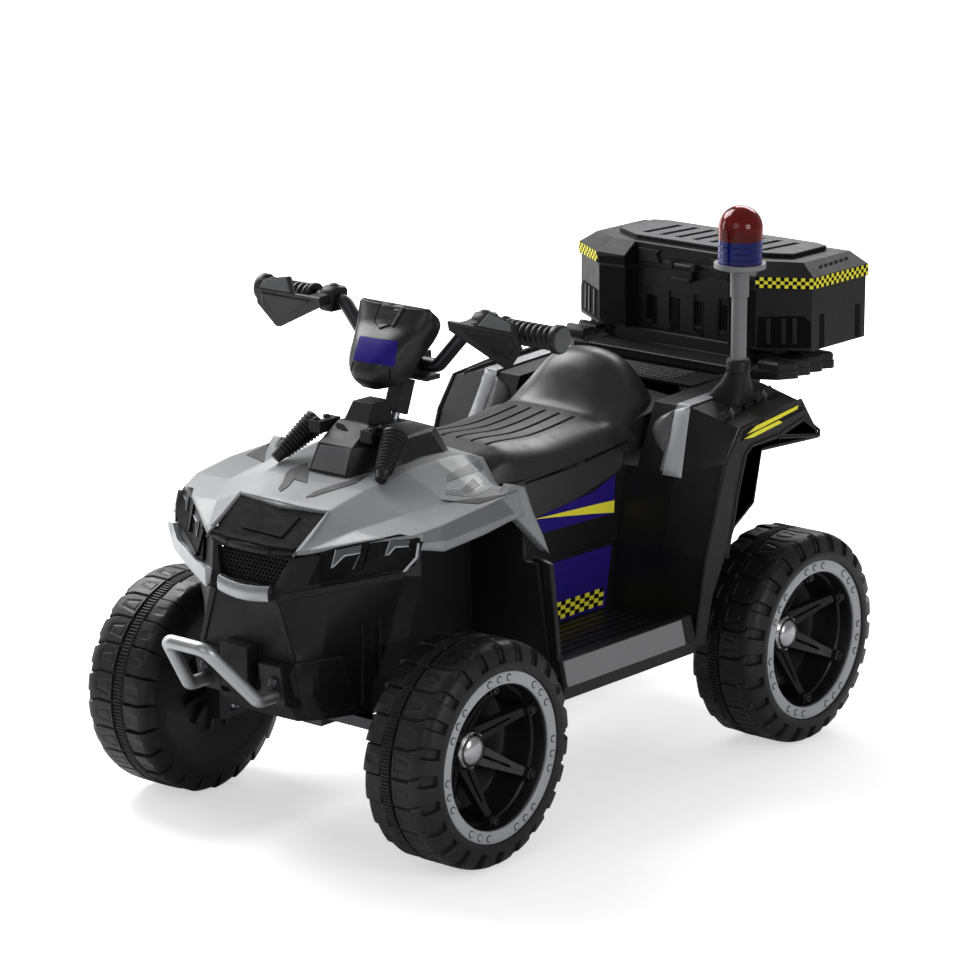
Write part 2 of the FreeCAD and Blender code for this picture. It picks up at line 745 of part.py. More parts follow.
# Tail of the tub from its bottom up to the deck: distance behind the rear axle, height
TUB_TAIL = [(64, TUB_BOTTOM), (64, 240), (108, 276), (122, 346), (126, DECK_Z - DECK_T)]


def tub():
    w = WALL
    front = -290
    tail = [(AXLE_Y + y, z) for y, z in TUB_TAIL]
    nose_floor = TUB_BOTTOM + 10
    side = [(front, nose_floor), (-200, nose_floor), (-180, TUB_BOTTOM), *tail, (272, DECK_Z - DECK_T),
            (262, SEAT_BASE), (-82, SEAT_BASE), (-84, 387), (front, 382)]
    inside = [(front - 1, nose_floor + w), (-198, nose_floor + w), (-178, TUB_BOTTOM + w),
              (tail[0][0] - w, TUB_BOTTOM + w), *[(y - w, z + 1) for y, z in tail[1:]],
              (tail[-1][0] - w, 600), (front - 1, 600)]
    body = slab_x(side, -TUNNEL_X, TUNNEL_X).cut(slab_x(inside, -TUNNEL_X + w, TUNNEL_X - w))
    nose = block(-NOSE_X, NOSE_X, NOSE_Y, front, nose_floor, 330)
    nose = nose.cut(block(-NOSE_X + w, NOSE_X - w, NOSE_Y + w, front + 1, nose_floor + w, 331))
    tongue = block(-80, 80, -AXLE_Y - 34, NOSE_Y, nose_floor, nose_floor + w)
    bulkhead = block(-TUNNEL_X, TUNNEL_X, front, front + w, 300, 382)
    pieces = [body, nose, tongue, bulkhead]
    for s in (-1, 1):
        inner = TUNNEL_X - 1
        floor = block(min(s * inner, s * (SILL_X - 12)), max(s * inner, s * (SILL_X - 12)), -146, 122,
                      FLOOR_Z - FLOOR_T, FLOOR_Z)
        guard = skin([[(s * x, y, z) for x, y in ((inner, y0), (out, y0), (out, y0 + 6), (inner, y0 + 6))]
                      for out, y0, z in ((222, -150, FLOOR_Z - 22), (196, -160, 385))])
        fin_room = slab_x([(-220, 330), (-100, 330), (-100, 440), (-220, 440)],
                          s * (FIN_X - SEAT_GAP), s * SILL_X)
        guard = guard.cut(fin_room)
        rail = ((222, 162), (SILL_X, 162), (SILL_X, 177), (SILL_X - 8, 210), (222, 210))
        sill = slab_y([(s * x, z) for x, z in rail], -150, 117)
        boss = block(min(s * (TUNNEL_X - 16), s * TUNNEL_X), max(s * (TUNNEL_X - 16), s * TUNNEL_X),
                     AXLE_Y - 16, AXLE_Y + 16, AXLE_Z - 16, TUB_BOTTOM + w)
        pieces += [floor, guard, sill, boss]
    ears = [block(x - 3, x + 3, -74, -58, FLOOR_Z, FLOOR_Z + 16) for x in (-192, -138)]
    axle = rod((-150, AXLE_Y, AXLE_Z), (150, AXLE_Y, AXLE_Z), AXLE_R)
    shaft = rod(on_column(-400), on_column(0), SHAFT_R + 4)
    pin = rod((-200, -66, FLOOR_Z + 9), (-130, -66, FLOOR_Z + 9), 3)
    return fused(pieces + ears).cut([axle, shaft, pin, motor_space()])


def sill_trims():
    lift = 0.2
    plate = slab_y([(SILL_X + lift, 178), (SILL_X - 7.6 + lift, 209), (SILL_X - 7.6 + 2.8, 209.5),
                    (SILL_X + 2.8, 178.5)], -146, 92)
    return both(plate)


REAR_PROFILE_IN = [(128, 168), (135, 279), (158, 375), (194, DECK_Z - 6), (345, DECK_Z), (395, 430)]
REAR_PROFILE_OUT = [(118, 168), (139, 279), (178, 396), (208, 437), (339, 450), (378, 396)]
ARCH_EDGE = [(252, 402), (236, 335), (195, 311), (150, 230), (135, 168)]


def sheet_section(x, line):
    t = DECK_T
    shift = [(t, 0), (t, 0), (t, 0), (t, -t), (-t * 0.4, -t), (-t, -t * 0.6)]
    under = [(y + dy, z + dz) for (y, z), (dy, dz) in zip(line, shift)]
    return [(x, y, z) for y, z in line] + [(x, y, z) for y, z in reversed(under)]


def rear_cowl():
    inner_x = TUNNEL_X + SEAT_GAP
    seat_side = 112
    wing = skin([sheet_section(seat_side, REAR_PROFILE_IN), sheet_section(PILLAR_X, REAR_PROFILE_IN),
                 sheet_section(SILL_X - DECK_T, REAR_PROFILE_OUT)])
    front = REAR_PROFILE_IN[:3]
    lower = slab_x(front + [(y + DECK_T, z) for y, z in reversed(front)], inner_x, seat_side)
    deck = block(-seat_side, seat_side, 276, 345, DECK_Z - DECK_T, DECK_Z)
    cheek = slab_x([(160, 375), (196, DECK_Z - 6 - DECK_T), (280, DECK_Z - DECK_T), (280, 375)],
                   seat_side, seat_side + DECK_T)
    skirt = slab_x(REAR_PROFILE_OUT + ARCH_EDGE, SILL_X - DECK_T, SILL_X)
    half = fused([wing, lower, cheek, skirt])
    return fused([half, deck, flip(half)])


def fender_trims():
    # silver strip up the pillar and back along the top of the fender
    t = 2.5
    g = SEAT_GAP
    (y0, z0), (y1, z1), (y2, z2) = REAR_PROFILE_IN[2:5]
    low = (y0 + 3 * (y1 - y0) / (z1 - z0), z0 + 3)
    end = (TRIM_END, z1 + (TRIM_END - y1) * (z2 - z1) / (y2 - y1))
    under = [(low[0] - g, low[1]), (y1 - g, z1 + g), (end[0], end[1] + g)]
    over = [(end[0], end[1] + t), (y1 - 1.5, z1 + t), (low[0] - t - 0.5, low[1])]
    return both(slab_x(under + over, PILLAR_X - 22, PILLAR_X - 2))


# Seat sections from front to back: y, then centre, shoulder, side, edge and base as (x, z)
SEAT_ROWS = [
    (-80, (0, 438), (30, 437), (58, 434), (82, 422), (90, SEAT_BASE)),
    (-60, (0, 441), (32, 440), (62, 437), (88, 423), (95, SEAT_BASE)),
    (20, (0, 436), (36, 435), (70, 433), (96, 419), (100, SEAT_BASE)),
    (112, (0, 444), (40, 443), (76, 439), (98, 426), (104, SEAT_BASE)),
    (140, (0, 466), (36, 462), (64, 450), (92, 432), (105, SEAT_BASE)),
    (160, (0, 497), (38, 489), (64, 468), (90, 442), (105, SEAT_BASE)),
    (185, (0, 511), (40, 503), (65, 480), (88, 450), (106, SEAT_BASE)),
    (215, (0, 506), (40, 498), (65, 476), (88, 449), (106, SEAT_BASE)),
    (240, (0, 484), (38, 479), (64, 464), (89, 444), (106, SEAT_BASE)),
    (258, (0, 462), (36, 460), (64, 452), (92, 436), (106, SEAT_BASE)),
]


def seat():
    outer = []
    hollow = []
    t = 5.0
    for i, (y, *half) in enumerate(SEAT_ROWS):
        end = {0: t, len(SEAT_ROWS) - 1: -t}.get(i, 0)
        inner = [(max(x - t, 0), z - t) for x, z in half[:-1]]
        inner.append((half[-1][0] - t, SEAT_BASE - 1))
        for line, shift, rows in ((half, 0, outer), (inner, end, hollow)):
            at = y + shift
            rows.append([(-x, at, z) for x, z in reversed(line[1:])] + [(x, at, z) for x, z in line])
    grooves = [block(x - 2.5, x + 2.5, -70, 92, 433.5, 445) for x in (-48, -24, 0, 24, 48)]
    return skin(outer).cut([skin(hollow)] + grooves)


def rear_rack():
    z0 = DECK_Z
    z1 = z0 + RACK_T
    half = [(146, RACK_FRONT), (178, RACK_FRONT + 18)]
    for i in range(4):
        y = RACK_END - (4 - i) * TOOTH
        half += [(180, y), (193, y + TOOTH - 5), (193, y + TOOTH)]
    points = half + [(-x, yy) for x, yy in reversed(half)]
    slots = [block(x - 9, x + 9, RACK_FRONT + 12, RACK_END - 14, z0 - 1, z1 + 1)
             for x in range(-140, 141, 40)]
    rails = [block(min(s * TUNNEL_X, s * (TUNNEL_X - WALL)), max(s * TUNNEL_X, s * (TUNNEL_X - WALL)),
                   RACK_FRONT + 4, 440, z0 - DECK_T, z0) for s in (-1, 1)]
    return fused([slab_z(points, z0, z1).cut(slots)] + rails)


# Storage box

def box_plan(inset):
    i = inset
    half = [(BOX_FRONT_X - i * 0.4, BOX_FRONT + i), (BOX_X - i, BOX_SHOULDER + i * 0.4),
            (BOX_X - i, BOX_REAR - 14 - i * 0.4), (BOX_REAR_X - i * 0.4, BOX_REAR - i)]
    return half + [(-x, y) for x, y in reversed(half)]


def recess(inset):
    x = RECESS_X + inset
    return block(-x, x, BOX_FRONT - 5, BOX_FRONT + RECESS_D + inset, BOX_Z - 5, LID_Z + 20)


def hinge_y():
    return BOX_REAR + HINGE_R - 0.4


def trunk_base():
    w = WALL
    over = LID_OVERHANG
    outer = slab_z(box_plan(over), BOX_Z, BOX_SEAM).cut(recess(0))
    hollow = slab_z(box_plan(over + w), BOX_Z + w, BOX_SEAM + 1).cut(recess(w))
    back = BOX_FRONT + RECESS_D
    slots = [block(x - 7, x + 7, back - 1, back + 2, BOX_Z + 12, BOX_SEAM - 28) for x in (-63, -21, 21, 63)]
    feet = [block(x - 20, x + 20, y - 15, y + 15, DECK_Z + RACK_T, BOX_Z)
            for x in (-120, 120) for y in (425, 455)]
    knuckles = []
    for x in (-110, 110):
        arm = block(x - 12, x + 12, BOX_REAR - over - 1, hinge_y(), BOX_SEAM - 16, BOX_SEAM - 6)
        barrel = rod((x - 12, hinge_y(), BOX_SEAM), (x + 12, hinge_y(), BOX_SEAM), HINGE_R - 0.6)
        web = block(x - 12, x + 12, BOX_REAR + 1, hinge_y() + 3, BOX_SEAM - 16, BOX_SEAM)
        bore = rod((x - 13, hinge_y(), BOX_SEAM), (x + 13, hinge_y(), BOX_SEAM), PIN_R + RUN_GAP)
        knuckles.append(arm.fuse([barrel, web]).cut(bore))
    return fused([outer.cut([hollow] + slots)] + feet + knuckles)


def trunk_lid():
    w = WALL
    seam = BOX_SEAM + SEAT_GAP
    rim = slab_z(box_plan(0), seam, LID_RIM)
    crown = skin([[(x, y, LID_RIM) for x, y in box_plan(0)], [(x, y, LID_Z) for x, y in box_plan(LID_INSET)]])
    mid = (BOX_FRONT + BOX_REAR) / 2
    panel = slab_z([(x * 0.74, (y - mid) * 0.6 + mid + 5) for x, y in box_plan(0)], LID_Z, LID_Z + LID_PANEL)
    under = skin([[(x, y, LID_RIM) for x, y in box_plan(w)],
                  [(x, y, LID_Z - w) for x, y in box_plan(LID_INSET + w)]])
    hollow = slab_z(box_plan(w), seam - 1, LID_RIM).fuse(under).cut(recess(w))
    slots = []
    for i in range(8):
        x = (i - 3.5) * 28
        slots.append(slab_z([(x - 5, mid - 30), (x + 5, mid - 30), (x + 13, mid + 40), (x + 3, mid + 40)],
                            LID_Z + 2, LID_Z + LID_PANEL + 6))
    ears = []
    for x in (-110, 110):
        for s in (-1, 1):
            a = x + s * 13
            b = x + s * 21
            barrel = rod((a, hinge_y(), BOX_SEAM), (b, hinge_y(), BOX_SEAM), HINGE_R - 0.6)
            strap = block(min(a, b), max(a, b), BOX_REAR - 1, hinge_y(), BOX_SEAM + 2, BOX_SEAM + 12)
            ears.append(barrel.fuse(strap))
        ears.append(rod((x - 20, hinge_y(), BOX_SEAM), (x + 20, hinge_y(), BOX_SEAM), PIN_R))
    lugs = []
    for x in (-19, 19):
        lug = block(x - 3, x + 3, latch_y() - 5, BOX_FRONT + RECESS_D + 1, latch_z() - 4, latch_z() + 5)
        bore = rod((x - 4, latch_y(), latch_z()), (x + 4, latch_y(), latch_z()), PIN_R + RUN_GAP)
        lugs.append(lug.cut(bore))
    shell = fused([rim, crown]).cut([recess(0), hollow])
    return fused([shell, panel.cut(slots)] + ears + lugs)


def latch_y():
    return BOX_FRONT + RECESS_D - 6


def latch_z():
    return BOX_SEAM + 9


def trunk_latch():
    y = latch_y()
    z = latch_z()
    tab = block(-15, 15, y - 2, y + 4, z - 15, z)
    lip = block(-15, 15, y - 7, y + 4, z - 19, z - 15)
    pin = rod((-21, y, z), (21, y, z), PIN_R)
    barrel = rod((-15, y, z), (15, y, z), PIN_R + 1.5)
    return fused([tab, lip, barrel, pin])


# Beacon

def beacon_foot():
    x, y = BEACON_X, BEACON_Y
    inner = PILLAR_X - 1 - x
    rows = [(DECK_Z - 20, inner, 14, -25, 54), (DECK_Z + 4, inner, 13, -23, 49),
            (POLE_BASE - 8, -14, 14, -14, 14)]
    pad = skin([[(x + a, y + c, z), (x + b, y + c, z), (x + b, y + d, z), (x + a, y + d, z)]
                for z, a, b, c, d in rows])
    socket = rod((x, y, POLE_BASE - 9), (x, y, POLE_BASE + 4), POLE_R + 4)
    bore = rod((x, y, POLE_BASE - 20), (x, y, POLE_BASE + 5), POLE_R)
    pieces = fused([pad, socket]).cut([bore, rear_cowl()]).Solids
    return max(pieces, key=lambda solid: solid.CenterOfMass.z)


def beacon_pole():
    # tube with a wider collar at its head, under a dished round base
    x, y = BEACON_X, BEACON_Y
    z = BEACON_TOP - 84
    low = POLE_BASE - 20
    bore = POLE_R - 2
    collar = POLE_R + 2.2
    pole = lathe([(0, bore), (0, POLE_R), (103, POLE_R), (103, collar), (z - low, collar), (z - low, bore)],
                 (x, y, low), (0, 0, 1))
    base = lathe([(0, bore), (0, POLE_R + 6), (3, DOME_R + 3), (4, DOME_R + 5), (10, DOME_R + 5), (10, bore)],
                 (x, y, z), (0, 0, 1))
    return fused([pole, base])


def beacon_blue():
    z = BEACON_TOP - 74
    return lathe([(0, DOME_R - LENS_T), (0, DOME_R), (30, DOME_R), (30, DOME_R - LENS_T)],
                 (BEACON_X, BEACON_Y, z), (0, 0, 1))


def beacon_red():
    z = BEACON_TOP - 44
    c = V(BEACON_X, BEACON_Y, BEACON_TOP - DOME_R)

    def dome(r, drop):
        return Part.makeSphere(r, c, V(0, 0, 1), 0, 90, 360).fuse(
            Part.makeCylinder(r, c.z - z + drop, V(c.x, c.y, z - drop)))

    return dome(DOME_R, 0).cut(dome(DOME_R - LENS_T, 1)).removeSplitter()


def beacon_lamp():
    z = BEACON_TOP - 74
    profile = [(0, 0), (0, 14), (4, 14), (4, 7), (30, 7), (38, 3), (38, 0)]
    return lathe(profile, (BEACON_X, BEACON_Y, z), (0, 0, 1))


# Rear drive

def rear_axle():
    end = WHEEL_IN + HUB_FRONT
    axle = rod((-end - SEAT_GAP, AXLE_Y, AXLE_Z), (end + SEAT_GAP, AXLE_Y, AXLE_Z), AXLE_R)
    nuts = []
    for s in (-1, 1):
        nuts.append(rod((s * (end + SEAT_GAP), AXLE_Y, AXLE_Z), (s * (end + 4), AXLE_Y, AXLE_Z), AXLE_R + 4))
    return fused([axle] + nuts)


def gear_outline(teeth, y, z, x, start):
    # involute flanks sampled from root to tip, thinned by the backlash
    m = GEAR_MODULE
    pitch = teeth * m / 2
    base = pitch * math.cos(math.radians(20))
    tip = pitch + 0.95 * m
    root = pitch - 1.25 * m
    inv20 = math.tan(math.radians(20)) - math.radians(20)
    half_pitch = math.pi / (2 * teeth) - BACKLASH / (2 * pitch)
    points = []
    for i in range(teeth):
        centre = start + 2 * math.pi * i / teeth
        flank = []
        low = max(base, root)
        for k in range(5):
            r = low + (tip - low) * k / 4
            pressure = math.acos(min(1.0, base / r))
            half = half_pitch + inv20 - (math.tan(pressure) - pressure)
            flank.append((r, half))
        if root < base:
            flank.insert(0, (root, flank[0][1]))
        for r, half in flank:
            points.append((r, centre - half))
        for r, half in reversed(flank):
            points.append((r, centre + half))
    return [(x, y + r * math.cos(a), z + r * math.sin(a)) for r, a in points]


def drive_gear():
    blank = prism(gear_outline(GEAR_TEETH, AXLE_Y, AXLE_Z, GEAR_X, PINION_ANGLE), (GEAR_W, 0, 0))
    sleeve = rod((GEAR_X + 1, AXLE_Y, AXLE_Z), (WHEEL_IN + 10, AXLE_Y, AXLE_Z), HUB_R - 5)
    bore = rod((GEAR_X - 1, AXLE_Y, AXLE_Z), (WHEEL_IN + 11, AXLE_Y, AXLE_Z), AXLE_R + RUN_GAP)
    return fused([blank, sleeve]).cut(bore)


def motor_pinion():
    start = PINION_ANGLE + math.pi + math.pi / PINION_TEETH
    blank = prism(gear_outline(PINION_TEETH, PINION_Y, PINION_Z, GEAR_X, start), (GEAR_W, 0, 0))
    shaft = rod((GEAR_X - 22, PINION_Y, PINION_Z), (GEAR_X + GEAR_W + 5, PINION_Y, PINION_Z), 2.5)
    return fused([blank, shaft])


def gear_housing():
    x0 = GEAR_X - 5
    x1 = GEAR_X + GEAR_W + 7
    w = 3.0
    big = GEAR_PITCH + GEAR_MODULE + 2
    small = PINION_PITCH + GEAR_MODULE + 2

    def lobes(a, b, extra):
        return rod((a, AXLE_Y, AXLE_Z), (b, AXLE_Y, AXLE_Z), big + extra).fuse(
            rod((a, PINION_Y, PINION_Z), (b, PINION_Y, PINION_Z), small + extra))

    shell = lobes(x0, x1, w).cut(lobes(x0 + w, x1 - w, 0))
    holes = [rod((x0 - 1, AXLE_Y, AXLE_Z), (x0 + w + 1, AXLE_Y, AXLE_Z), AXLE_R + RUN_GAP),
             rod((x1 - w - 1, AXLE_Y, AXLE_Z), (x1 + 1, AXLE_Y, AXLE_Z), HUB_R - 5 + SEAT_GAP),
             rod((x0 - 1, PINION_Y, PINION_Z), (x0 + w + 1, PINION_Y, PINION_Z), 4),
             rod((x1 - w - 1, PINION_Y, PINION_Z), (x1 - w + 2, PINION_Y, PINION_Z), 2.5 + RUN_GAP)]
    bracket = block(TUNNEL_X, x0 + 2, AXLE_Y - 14, AXLE_Y + 14, AXLE_Z + 8, AXLE_Z + 40)
    shell = shell.cut(holes)
    split = GEAR_X + GEAR_W / 2
    inner = shell.common(block(0, split, AXLE_Y - 200, AXLE_Y + 200, 0, 400)).fuse(bracket).removeSplitter()
    outer = shell.common(block(split, 400, AXLE_Y - 200, AXLE_Y + 200, 0, 400))
    return both(group([inner, outer]))


def motor_space():
    x1 = GEAR_X - 5
    return both(rod((x1 - MOTOR_L - 4, PINION_Y, PINION_Z), (x1, PINION_Y, PINION_Z), MOTOR_R + SEAT_GAP))


def drive_motor():
    x1 = GEAR_X - 5
    can = rod((x1 - MOTOR_L, PINION_Y, PINION_Z), (x1, PINION_Y, PINION_Z), MOTOR_R)
    boss = rod((x1 - MOTOR_L - 3, PINION_Y, PINION_Z), (x1 - MOTOR_L, PINION_Y, PINION_Z), 6)
    bore = rod((x1 - 20, PINION_Y, PINION_Z), (x1 + 1, PINION_Y, PINION_Z), 2.5 + RUN_GAP)
    return both(fused([can, boss]).cut(bore))


def battery():
    y0 = 20
    floor = TUB_BOTTOM + WALL
    top = floor + 94
    case = block(-33, 33, y0, y0 + 151, floor, top)
    posts = [block(x - 3, x + 3, y0 + 10, y0 + 16, top, top + 6) for x in (-22, 22)]
    return fused([case] + posts)


def control_box():
    floor = TUB_BOTTOM + WALL
    case = block(-30, 30, -60, -10, floor, floor + 24)
    plug = block(-18, 18, -64, -60, floor + 6, floor + 18)
    return fused([case, plug])


def pedal():
    x0, x1 = -188, -142
    z = FLOOR_Z + 9
    plate = slab_x([(-68, z - 3), (-60, z - 5), (-60, z + 3), (-134, z + 30), (-136, z + 25)], x0, x1)
    pin = rod((-195, -66, z), (-135, -66, z), 3 - RUN_GAP)
    barrel = rod((x0, -66, z), (x1, -66, z), 6)
    return fused([plate, barrel, pin])


def build():
    nodes = {
        "chassis_tub": tub(),
        "front_cowl": front_cowl(),
        "front_fascia": front_fascia(),
        "headlights": headlights(),
        "chin_trim": chin_trim(),
        "grille_mesh": grille_mesh(),
        "badge_panel": badge_panel(),
        "bumper_bar": bumper_bar(),
        "body_bolts": body_bolts(),
        "steering_pedestal": steering_pedestal(),
        "boots": both(boot()),
        "seat": seat(),
        "sill_trims": sill_trims(),
        "rear_cowl": rear_cowl(),
        "fender_trims": fender_trims(),
        "rear_rack": rear_rack(),
        "trunk_base": trunk_base(),
        "trunk_lid": trunk_lid(),
        "trunk_latch": trunk_latch(),
        "beacon_foot": beacon_foot(),
        "beacon_pole": beacon_pole(),
        "beacon_lens_blue": beacon_blue(),
        "beacon_dome_red": beacon_red(),
        "beacon_lamp": beacon_lamp(),
        "front_axle_beam": front_axle_beam(),
        "knuckle_left": knuckle(),
        "knuckle_right": flip(knuckle()),
        "tie_rod": tie_rod(),
        "steering_shaft": steering_shaft(),
        "column_clamp": fused([column_sleeve(), bar_clamp()]),
        "handlebar": handlebar(),
        "dash_pod": dash_pod(),
        "grips": both(grip()),
        "hand_guards": both(hand_guard()),
        "lever_perches": group([lever_perch().cut(horn_well()), flip(lever_perch())]),
        "power_button": power_button(),
        "direction_rocker": direction_rocker(),
        "horn_button": horn_button(),
        "rear_axle": rear_axle(),
        "drive_gear_left": drive_gear(),
        "drive_gear_right": flip(drive_gear()),
        "motor_pinion_left": motor_pinion(),
        "motor_pinion_right": flip(motor_pinion()),
        "gear_housings": gear_housing(),
        "drive_motors": drive_motor(),
        "battery": battery(),
        "control_box": control_box(),
        "pedal": pedal(),
    }
    for end, y in (("front", -AXLE_Y), ("rear", AXLE_Y)):
        for piece, shape in (("tyre", tyre(y)), ("rim", rim(y)), ("wheel_trim", wheel_trim(y))):
            nodes[f"{piece}_{end}_left"] = shape
            nodes[f"{piece}_{end}_right"] = flip(shape)
    return nodes


os.makedirs("parts", exist_ok=True)
for node_name, node_shape in build().items():
    node_shape.exportStep(f"parts/{node_name}.step")
    print(node_name, len(node_shape.Solids), node_shape.isValid(), round(node_shape.Volume / 1000, 1))
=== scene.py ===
import bpy
import bmesh
import json
import math
from mathutils import Matrix, Vector
from mathutils.bvhtree import BVHTree


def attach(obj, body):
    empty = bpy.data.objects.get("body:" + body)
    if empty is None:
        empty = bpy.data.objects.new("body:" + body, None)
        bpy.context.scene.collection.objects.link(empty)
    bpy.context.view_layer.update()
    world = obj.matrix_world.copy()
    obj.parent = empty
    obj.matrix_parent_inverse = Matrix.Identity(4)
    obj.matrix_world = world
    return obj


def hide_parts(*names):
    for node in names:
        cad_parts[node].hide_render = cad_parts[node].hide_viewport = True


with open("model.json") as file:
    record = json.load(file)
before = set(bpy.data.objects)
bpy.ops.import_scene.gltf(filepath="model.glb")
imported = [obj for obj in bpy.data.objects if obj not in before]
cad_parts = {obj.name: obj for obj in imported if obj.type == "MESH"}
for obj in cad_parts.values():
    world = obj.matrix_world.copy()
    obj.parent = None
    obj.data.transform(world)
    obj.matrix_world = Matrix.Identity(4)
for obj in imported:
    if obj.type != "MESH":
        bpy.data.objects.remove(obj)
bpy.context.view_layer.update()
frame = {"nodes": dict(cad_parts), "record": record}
NODES = frame["nodes"]
SLOT_OF = {s["node"]: s["material_slot"] for s in frame["record"]["subparts"]}
MM = 0.001
TAU = 2 * math.pi


# Colours and materials

TONE_SCALE, SPECK_SCALE, SCUFF_SCALE = 9.0, 240.0, 38.0
DULL_SCALE, BRUSH_SCALE = 14.0, 90.0
STREAK_SCALE, HAZE_SCALE, RIPPLE_SCALE = 26.0, 60.0, 120.0
SPECK_FROM, SPECK_TO, SPECK_MOST, SPECK_LIGHT = 0.62, 0.75, 0.35, 1.25
SCUFF_STRETCH = (1.0, 2.5, 1.0)
# Convex edges drawn lighter: edge wear, and a painted highlight along the edges
WEAR_AND_HIGHLIGHT_FROM, WEAR_AND_HIGHLIGHT_TO, WEAR_AND_HIGHLIGHT_MOST = 0.53, 0.60, 0.7
GRAIN_BUMP, BRUSH_BUMP, RIPPLE_BUMP = 0.0006, 0.0003, 0.0005
BRUSH_DEPTH, RIPPLE_DEPTH = 0.008, 0.04
# Blend at the lower edge of a lighter top that is a painted sheen
PAINTED_SHEEN_BLEND = 0.4
LENS_IOR, LENS_SHEEN = 1.49, 0.2


def srgb(r, g, b):
    """A screen colour, 0 to 255, as linear light."""
    out = []
    for c in (r, g, b):
        c = c / 255
        out.append(c / 12.92 if c <= 0.04045 else ((c + 0.055) / 1.055) ** 2.4)
    return (*out, 1.0)


def shade(c, k):
    return (min(1, c[0] * k), min(1, c[1] * k), min(1, c[2] * k), 1.0)


class Nodes:
    """Short calls for a material's nodes."""

    def __init__(self, name):
        self.mat = bpy.data.materials.new(name)
        self.mat.use_nodes = True
        self.tree = self.mat.node_tree
        self.tree.nodes.clear()
        out = self.add("ShaderNodeOutputMaterial")
        self.bsdf = self.add("ShaderNodeBsdfPrincipled")
        self.link(self.bsdf.outputs[0], out.inputs[0])
        self.coord = self.add("ShaderNodeTexCoord").outputs["Object"]

    def add(self, kind, **values):
        n = self.tree.nodes.new(kind)
        for k, v in values.items():
            setattr(n, k, v)
        return n

    def link(self, a, b):
        self.tree.links.new(a, b)

    def feed(self, socket, name):
        self.link(socket, self.bsdf.inputs[name])

    def noise(self, scale, detail=2.0, rough=0.5, stretch=None):
        n = self.add("ShaderNodeTexNoise")
        n.inputs["Scale"].default_value = scale
        n.inputs["Detail"].default_value = detail
        n.inputs["Roughness"].default_value = rough
        place = self.coord
        if stretch:
            m = self.add("ShaderNodeMapping")
            m.inputs["Scale"].default_value = stretch
            self.link(self.coord, m.inputs["Vector"])
            place = m.outputs[0]
        self.link(place, n.inputs["Vector"])
        return n.outputs["Fac"]

    def drift(self, fac, colour, dark, light):
        """A colour that drifts between a darker and a lighter shade."""
        r = self.add("ShaderNodeValToRGB")
        for stop, place, k in zip(r.color_ramp.elements, (0.3, 0.7), (dark, light)):
            stop.position = place
            stop.color = shade(colour, k)
        self.link(fac, r.inputs[0])
        return r.outputs[0]

    def span(self, fac, a, b, lo, hi):
        m = self.add("ShaderNodeMapRange")
        for k, v in (("From Min", a), ("From Max", b), ("To Min", lo), ("To Max", hi)):
            m.inputs[k].default_value = v
        self.link(fac, m.inputs["Value"])
        return m.outputs[0]

    def mix(self, fac, a, b):
        m = self.add("ShaderNodeMix", data_type="RGBA")
        self.link(fac, m.inputs[0])
        for sock, v in ((m.inputs[6], a), (m.inputs[7], b)):
            if isinstance(v, tuple):
                sock.default_value = v
            else:
                self.link(v, sock)
        return m.outputs[2]

    def bump(self, height, strength, distance, round_mm=None):
        """Fine relief, on corners that look rounded by round_mm."""
        b = self.add("ShaderNodeBump")
        b.inputs["Strength"].default_value = strength
        b.inputs["Distance"].default_value = distance
        self.link(height, b.inputs["Height"])
        if round_mm is not None:
            corner = self.add("ShaderNodeBevel", samples=4)
            corner.inputs["Radius"].default_value = round_mm * MM
            self.link(corner.outputs[0], b.inputs["Normal"])
        self.feed(b.outputs[0], "Normal")

    def set(self, **values):
        for k, v in values.items():
            self.bsdf.inputs[k.replace("_", " ")].default_value = v


def moulded(name, screen, rough, grain=900.0, grain_depth=0.06, tone=0.10, edge=1.3, round_mm=1.2,
            sheen=0.5, panel=None):
    """Moulded plastic: fine grain, slow tone changes, lighter edges (edge wear and painted edge highlight),
    a soft corner radius, and, where a height is given, a lighter top above it that is a painted sheen.
    """
    n = Nodes(name)
    colour = srgb(*screen)
    broad = n.noise(TONE_SCALE, 3.0)
    base = n.drift(broad, colour, 1 - tone, 1 + tone)
    speck = n.span(n.noise(SPECK_SCALE), SPECK_FROM, SPECK_TO, 0.0, SPECK_MOST)
    base = n.mix(speck, base, shade(colour, SPECK_LIGHT))
    # A lighter top above the given height: painted sheen of light from above, not a second colour
    if panel:
        height, painted_top_tint = panel
        split = n.add("ShaderNodeSeparateXYZ")
        n.link(n.coord, split.inputs[0])
        low, high = (height - PAINTED_SHEEN_BLEND) * MM, (height + PAINTED_SHEEN_BLEND) * MM
        painted_top_mask = n.span(split.outputs["Z"], low, high, 0.0, 1.0)
        base = n.mix(painted_top_mask, base, n.drift(broad, srgb(*painted_top_tint), 1 - tone, 1 + tone))
    # Convex edges get lighter: edge wear, and a painted highlight on the edges
    point = n.add("ShaderNodeNewGeometry").outputs["Pointiness"]
    base = n.mix(n.span(point, WEAR_AND_HIGHLIGHT_FROM, WEAR_AND_HIGHLIGHT_TO, 0.0, WEAR_AND_HIGHLIGHT_MOST), base, shade(colour, edge))
    n.feed(base, "Base Color")
    scuff = n.noise(SCUFF_SCALE, 5.0, 0.65, SCUFF_STRETCH)
    n.feed(n.span(scuff, 0.3, 0.75, rough - 0.06, rough + 0.10), "Roughness")
    n.bump(n.noise(grain, 3.0, 0.6), grain_depth, GRAIN_BUMP, round_mm)
    n.set(Specular_IOR_Level=sheen)
    return n.mat


